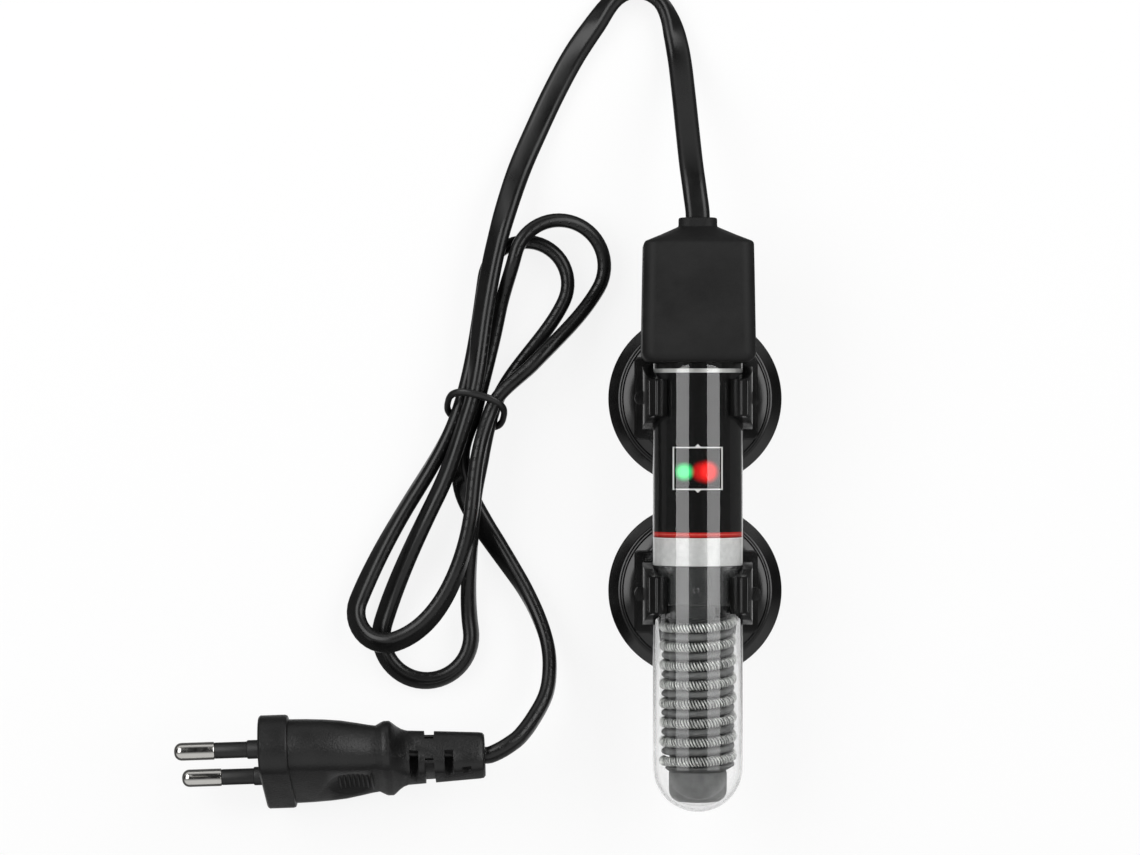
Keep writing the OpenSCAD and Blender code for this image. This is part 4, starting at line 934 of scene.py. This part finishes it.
tint = add_node(glass, "VolumeAbsorption", {"Color": linear("#c8cccb"), "Density": 34.0})
add_node(glass, "OutputMaterial", {
    "Surface": add_node(glass, "MixShader", {
        0: shadow_ray, 1: clear_glass, 2: lamps_through.outputs[0]}).outputs[0],
    "Volume": tint.outputs[0]})
make_piece("glass_envelope", glass, stands_for=("glass_tube",), angle=30)


# Inside the cap: a silicone ring and a rubber stopper seal the glass, and a clamp holds the cord,
# whose two cores go on to the board in their own insulation.
dress("seal_ring", moulded("silicone_rubber", "#7a2a22", "#8a3229", 0.5, 0.3, 0.02))
dress("tube_stopper", moulded("stopper_rubber", "#3a3a3c", "#48484a", 0.6, 0.3, 0.03))
dress("cord_grip", moulded("clamp_polyamide", "#bdbbb2", "#cbc9c0", 0.5, 0.4, 0.02))
dress("inlet_cord", moulded("cord_end_pvc", "#171717", "#1f1f1f", 0.38, 0.7, 0.02))
dress("supply_cores", moulded("core_insulation_pvc", "#6a4024", "#7a4c2d", 0.4, 0.4, 0.02))
dress("plug_cores", moulded("plug_core_pvc", "#151515", "#1c1c1c", 0.4, 0.4, 0.02))
dress("plug_insert", moulded("insert_polyamide", "#d4d2ca", "#e2e0d8", 0.45, 0.4, 0.02))


# The cap: one block of black EPDM rubber, pulled over the mouth of the tube. It is square with
# rounded corners, its shoulder slopes up to a collar round the cord, and its skin is matt.
cap_y, shoulder_y, collar_y, top_y = 33.8, 60.3, 63.9, 66.0
rim_round = 2.2
cap_outline = []
for along, out in arc(rim_round, 0, 90, 5):
    inset = rim_round - out
    cap_outline.append((cap_y + rim_round - along, 25.1 - 2 * inset, 25.5 - 2 * inset,
                        max(3 - 0.4 * inset, 1.2)))
cap_outline += [(42.0, 24.9, 25.3, 3), (54.0, 24.5, 24.8, 3), (shoulder_y - 0.5, 24.25, 24.55, 3),
                (shoulder_y - 0.1, 24.0, 24.3, 2.95), (shoulder_y + 0.25, 23.4, 23.5, 2.9),
                (62.0, 16.9, 15.7, 2.6), (collar_y - 0.25, 10.0, 7.8, 2.3),
                (collar_y + 0.1, 8.75, 6.5, 2.6), (collar_y + 0.5, 8.6, 6.4, 2.8),
                (top_y - 0.45, 8.6, 6.4, 2.8), (top_y - 0.12, 8.35, 6.15, 2.7),
                (top_y, 7.7, 5.5, 2.4)]
cap = lofted(cap_outline, segments=8)
tube_hole, seal_groove, stopper_room = 10.02, 11.6, 7.6
cut_away(cap, spun([(0, 33), (tube_hole, 33), (tube_hole, 37.8), (seal_groove, 37.8),
                    (seal_groove, 39.4), (tube_hole, 39.4), (tube_hole, 53.4),
                    (stopper_room, 53.4), (stopper_room, 59.9), (0, 59.9)], 96))
cut_away(cap, lofted([(59, cord_w, cord_t, 1.54), (67, cord_w, cord_t, 1.54)]))
cap.data.transform(to_axis)
make_piece("cap_moulding",
           moulded("epdm_rubber", "#181818", "#202020", 0.55, 0.35, 0.03, 1.52, 0.2),
           stands_for=("rubber_cap",), angle=32)


# The clips: two brackets moulded in black nylon. A flat plate takes the suction cup's neck, and
# two arms with ribbed lips spring round the glass, on which the bracket slides.


def prism(outline, low, high, place):
    """A prism through an outline in mm, from low to high along its own Z, put in place."""
    made = new_shape("prism", [(x / 1000, y / 1000, low / 1000) for x, y in outline], [],
                     [tuple(range(len(outline)))])
    edited(made, (bpy.ops.mesh.extrude_region_move,
                  {"TRANSFORM_OT_translate": {"value": (0, 0, (high - low) / 1000)}}))
    made.data.transform(place)
    return made


in_yz = Matrix(((0, 0, 1, 0), (1, 0, 0, 0), (0, 1, 0, 0), (0, 0, 0, 1)))
in_xz = Matrix(((1, 0, 0, 0), (0, 0, -1, 0), (0, 1, 0, 0), (0, 0, 0, 1)))
on_tube = mm_off(0, 0, axis_h)
nylon = moulded("moulded_nylon", "#0f0f0f", "#161616", 0.22, 0.6, 0.02)
clip_r, bore_r, clip_half, lip_half = 12.2, 10.06, 7.0, 4.1
lip_angle, leg_angle, leg_x = 46.0, 37.3, 8.0
arm_foot, arm_floor, tab_low, tab_high, neck_hole = -13.8, -13.4, 14.8, 23.0, 3.06
plate_low, plate_high, plate_w, plate_l = 8.0, 10.0, 27.8, 18.6
clip_outline = ([(-clip_r, arm_foot)] + arc(clip_r, 180, 180 - lip_angle, 14)
                + arc(bore_r, 180 - lip_angle, 180 + leg_angle, 24)
                + [(-leg_x, arm_floor), (leg_x, arm_floor)]
                + arc(bore_r, -leg_angle, lip_angle, 24) + arc(clip_r, lip_angle, 0, 14)
                + [(clip_r, arm_foot)])
rib_r, rib_away = 0.5, 12.05
rib_profile = [(0, -4.0), (0.3, -3.95), (rib_r, -3.7), (rib_r, 3.7), (0.3, 3.95), (0, 4.0)]
clip_places = (("upper", 26.0), ("lower", -17.6))
for name, clip_y in clip_places:
    clip = prism(clip_outline, -clip_half, clip_half, on_tube @ in_xz)
    for end in (-1, 1):
        taper = [(end * y, z) for y, z in (
            (9, -4.2), (7.3, -4.2), (6.7, -1.2), (5.6, 2.6), (4.5, 5.2), (lip_half, 6.6),
            (lip_half, 13), (9, 13))]
        cut_away(clip, prism(taper, -15, 15, on_tube @ in_yz))
    for side in (-1, 1):
        for angle in (50.5, 62.5):
            rib = spun(rib_profile, 16)
            rib.data.transform(mm_off(side * rib_away * math.sin(math.radians(angle)), 0,
                                      rib_away * math.cos(math.radians(angle))) @ to_axis)
            cut_away(clip, rib, "UNION")
        tab = [(0, -1.45)] + [(side * x, y) for x, y in arc(1.9, -49.7, 49.7, 12)] + [(0, 1.45)]
        cut_away(clip, prism(tab, tab_low, tab_high, mm_off(side * (clip_r - 0.1), 0, 0)),
                 "UNION")
    plate = lofted([
        (plate_low, plate_w - 0.5, plate_l - 0.5, 0.8), (plate_low + 0.25, plate_w, plate_l, 1),
        (plate_high - 0.3, plate_w, plate_l, 1),
        (plate_high, plate_w - 0.6, plate_l - 0.6, 0.75)])
    cut_away(clip, plate, "UNION")
    cut_away(clip, spun([(0, 7), (neck_hole, 7), (neck_hole, 11), (0, 11)], 48))
    rounded(clip, 0.26, 3, 40)
    clip.data.transform(mm_off(0, clip_y, 0))
    make_piece(name + "_clip_moulding", nylon, body=name + "_clip",
               stands_for=(name + "_bracket",), angle=35)


# The suction cups: soft black rubber, pressed in a mould and a little shinier than the clips.
# Fine rings run round the back; the neck goes through the clip's plate and a button holds it.
cup_rubber = moulded("suction_rubber", "#0e0e0e", "#151515", 0.2, 0.5, 0.01, 1.52)
cup_profile = [
    (0, 3.4), (6.8, 3.16), (13.6, 1.87), (17.1, 0.5), (18.1, 0), (19.45, 0), (19.65, 0.1),
    (19.7, 0.3), (19.7, 0.55), (19.62, 0.74), (19.4, 0.9), (17.65, 2.02), (17.52, 2.14),
    (17.5, 2.32), (17.4, 2.46), (17.2, 2.54), (17.0, 2.56), (16.9, 2.72), (16.78, 2.9),
    (16.6, 2.98), (16.45, 2.96), (16.36, 2.82), (16.3, 2.72), (16.15, 2.74), (14.15, 4.02),
    (14.02, 4.12), (13.96, 4.42), (13.86, 4.66), (13.6, 4.78), (13.1, 5.28), (12.95, 5.5),
    (12.75, 5.56), (12.55, 5.44), (12.3, 5.44), (8.16, 6.0), (6.0, 7.4), (5.75, 7.8), (5.5, 7.9),
    (3.0, 7.9), (3.0, 10.1), (4.4, 10.1), (4.5, 10.2), (4.5, 10.95), (4.38, 11.3), (3.5, 11.95),
    (2.6, 12.22), (1.8, 12.3), (0, 12.3)]
for name, cup_y in clip_places:
    spun(cup_profile, 128).data.transform(mm_off(0, cup_y, 0))
    make_piece(name + "_cup_moulding", cup_rubber, body=name + "_cup",
               stands_for=(name + "_suction_cup",), angle=30)
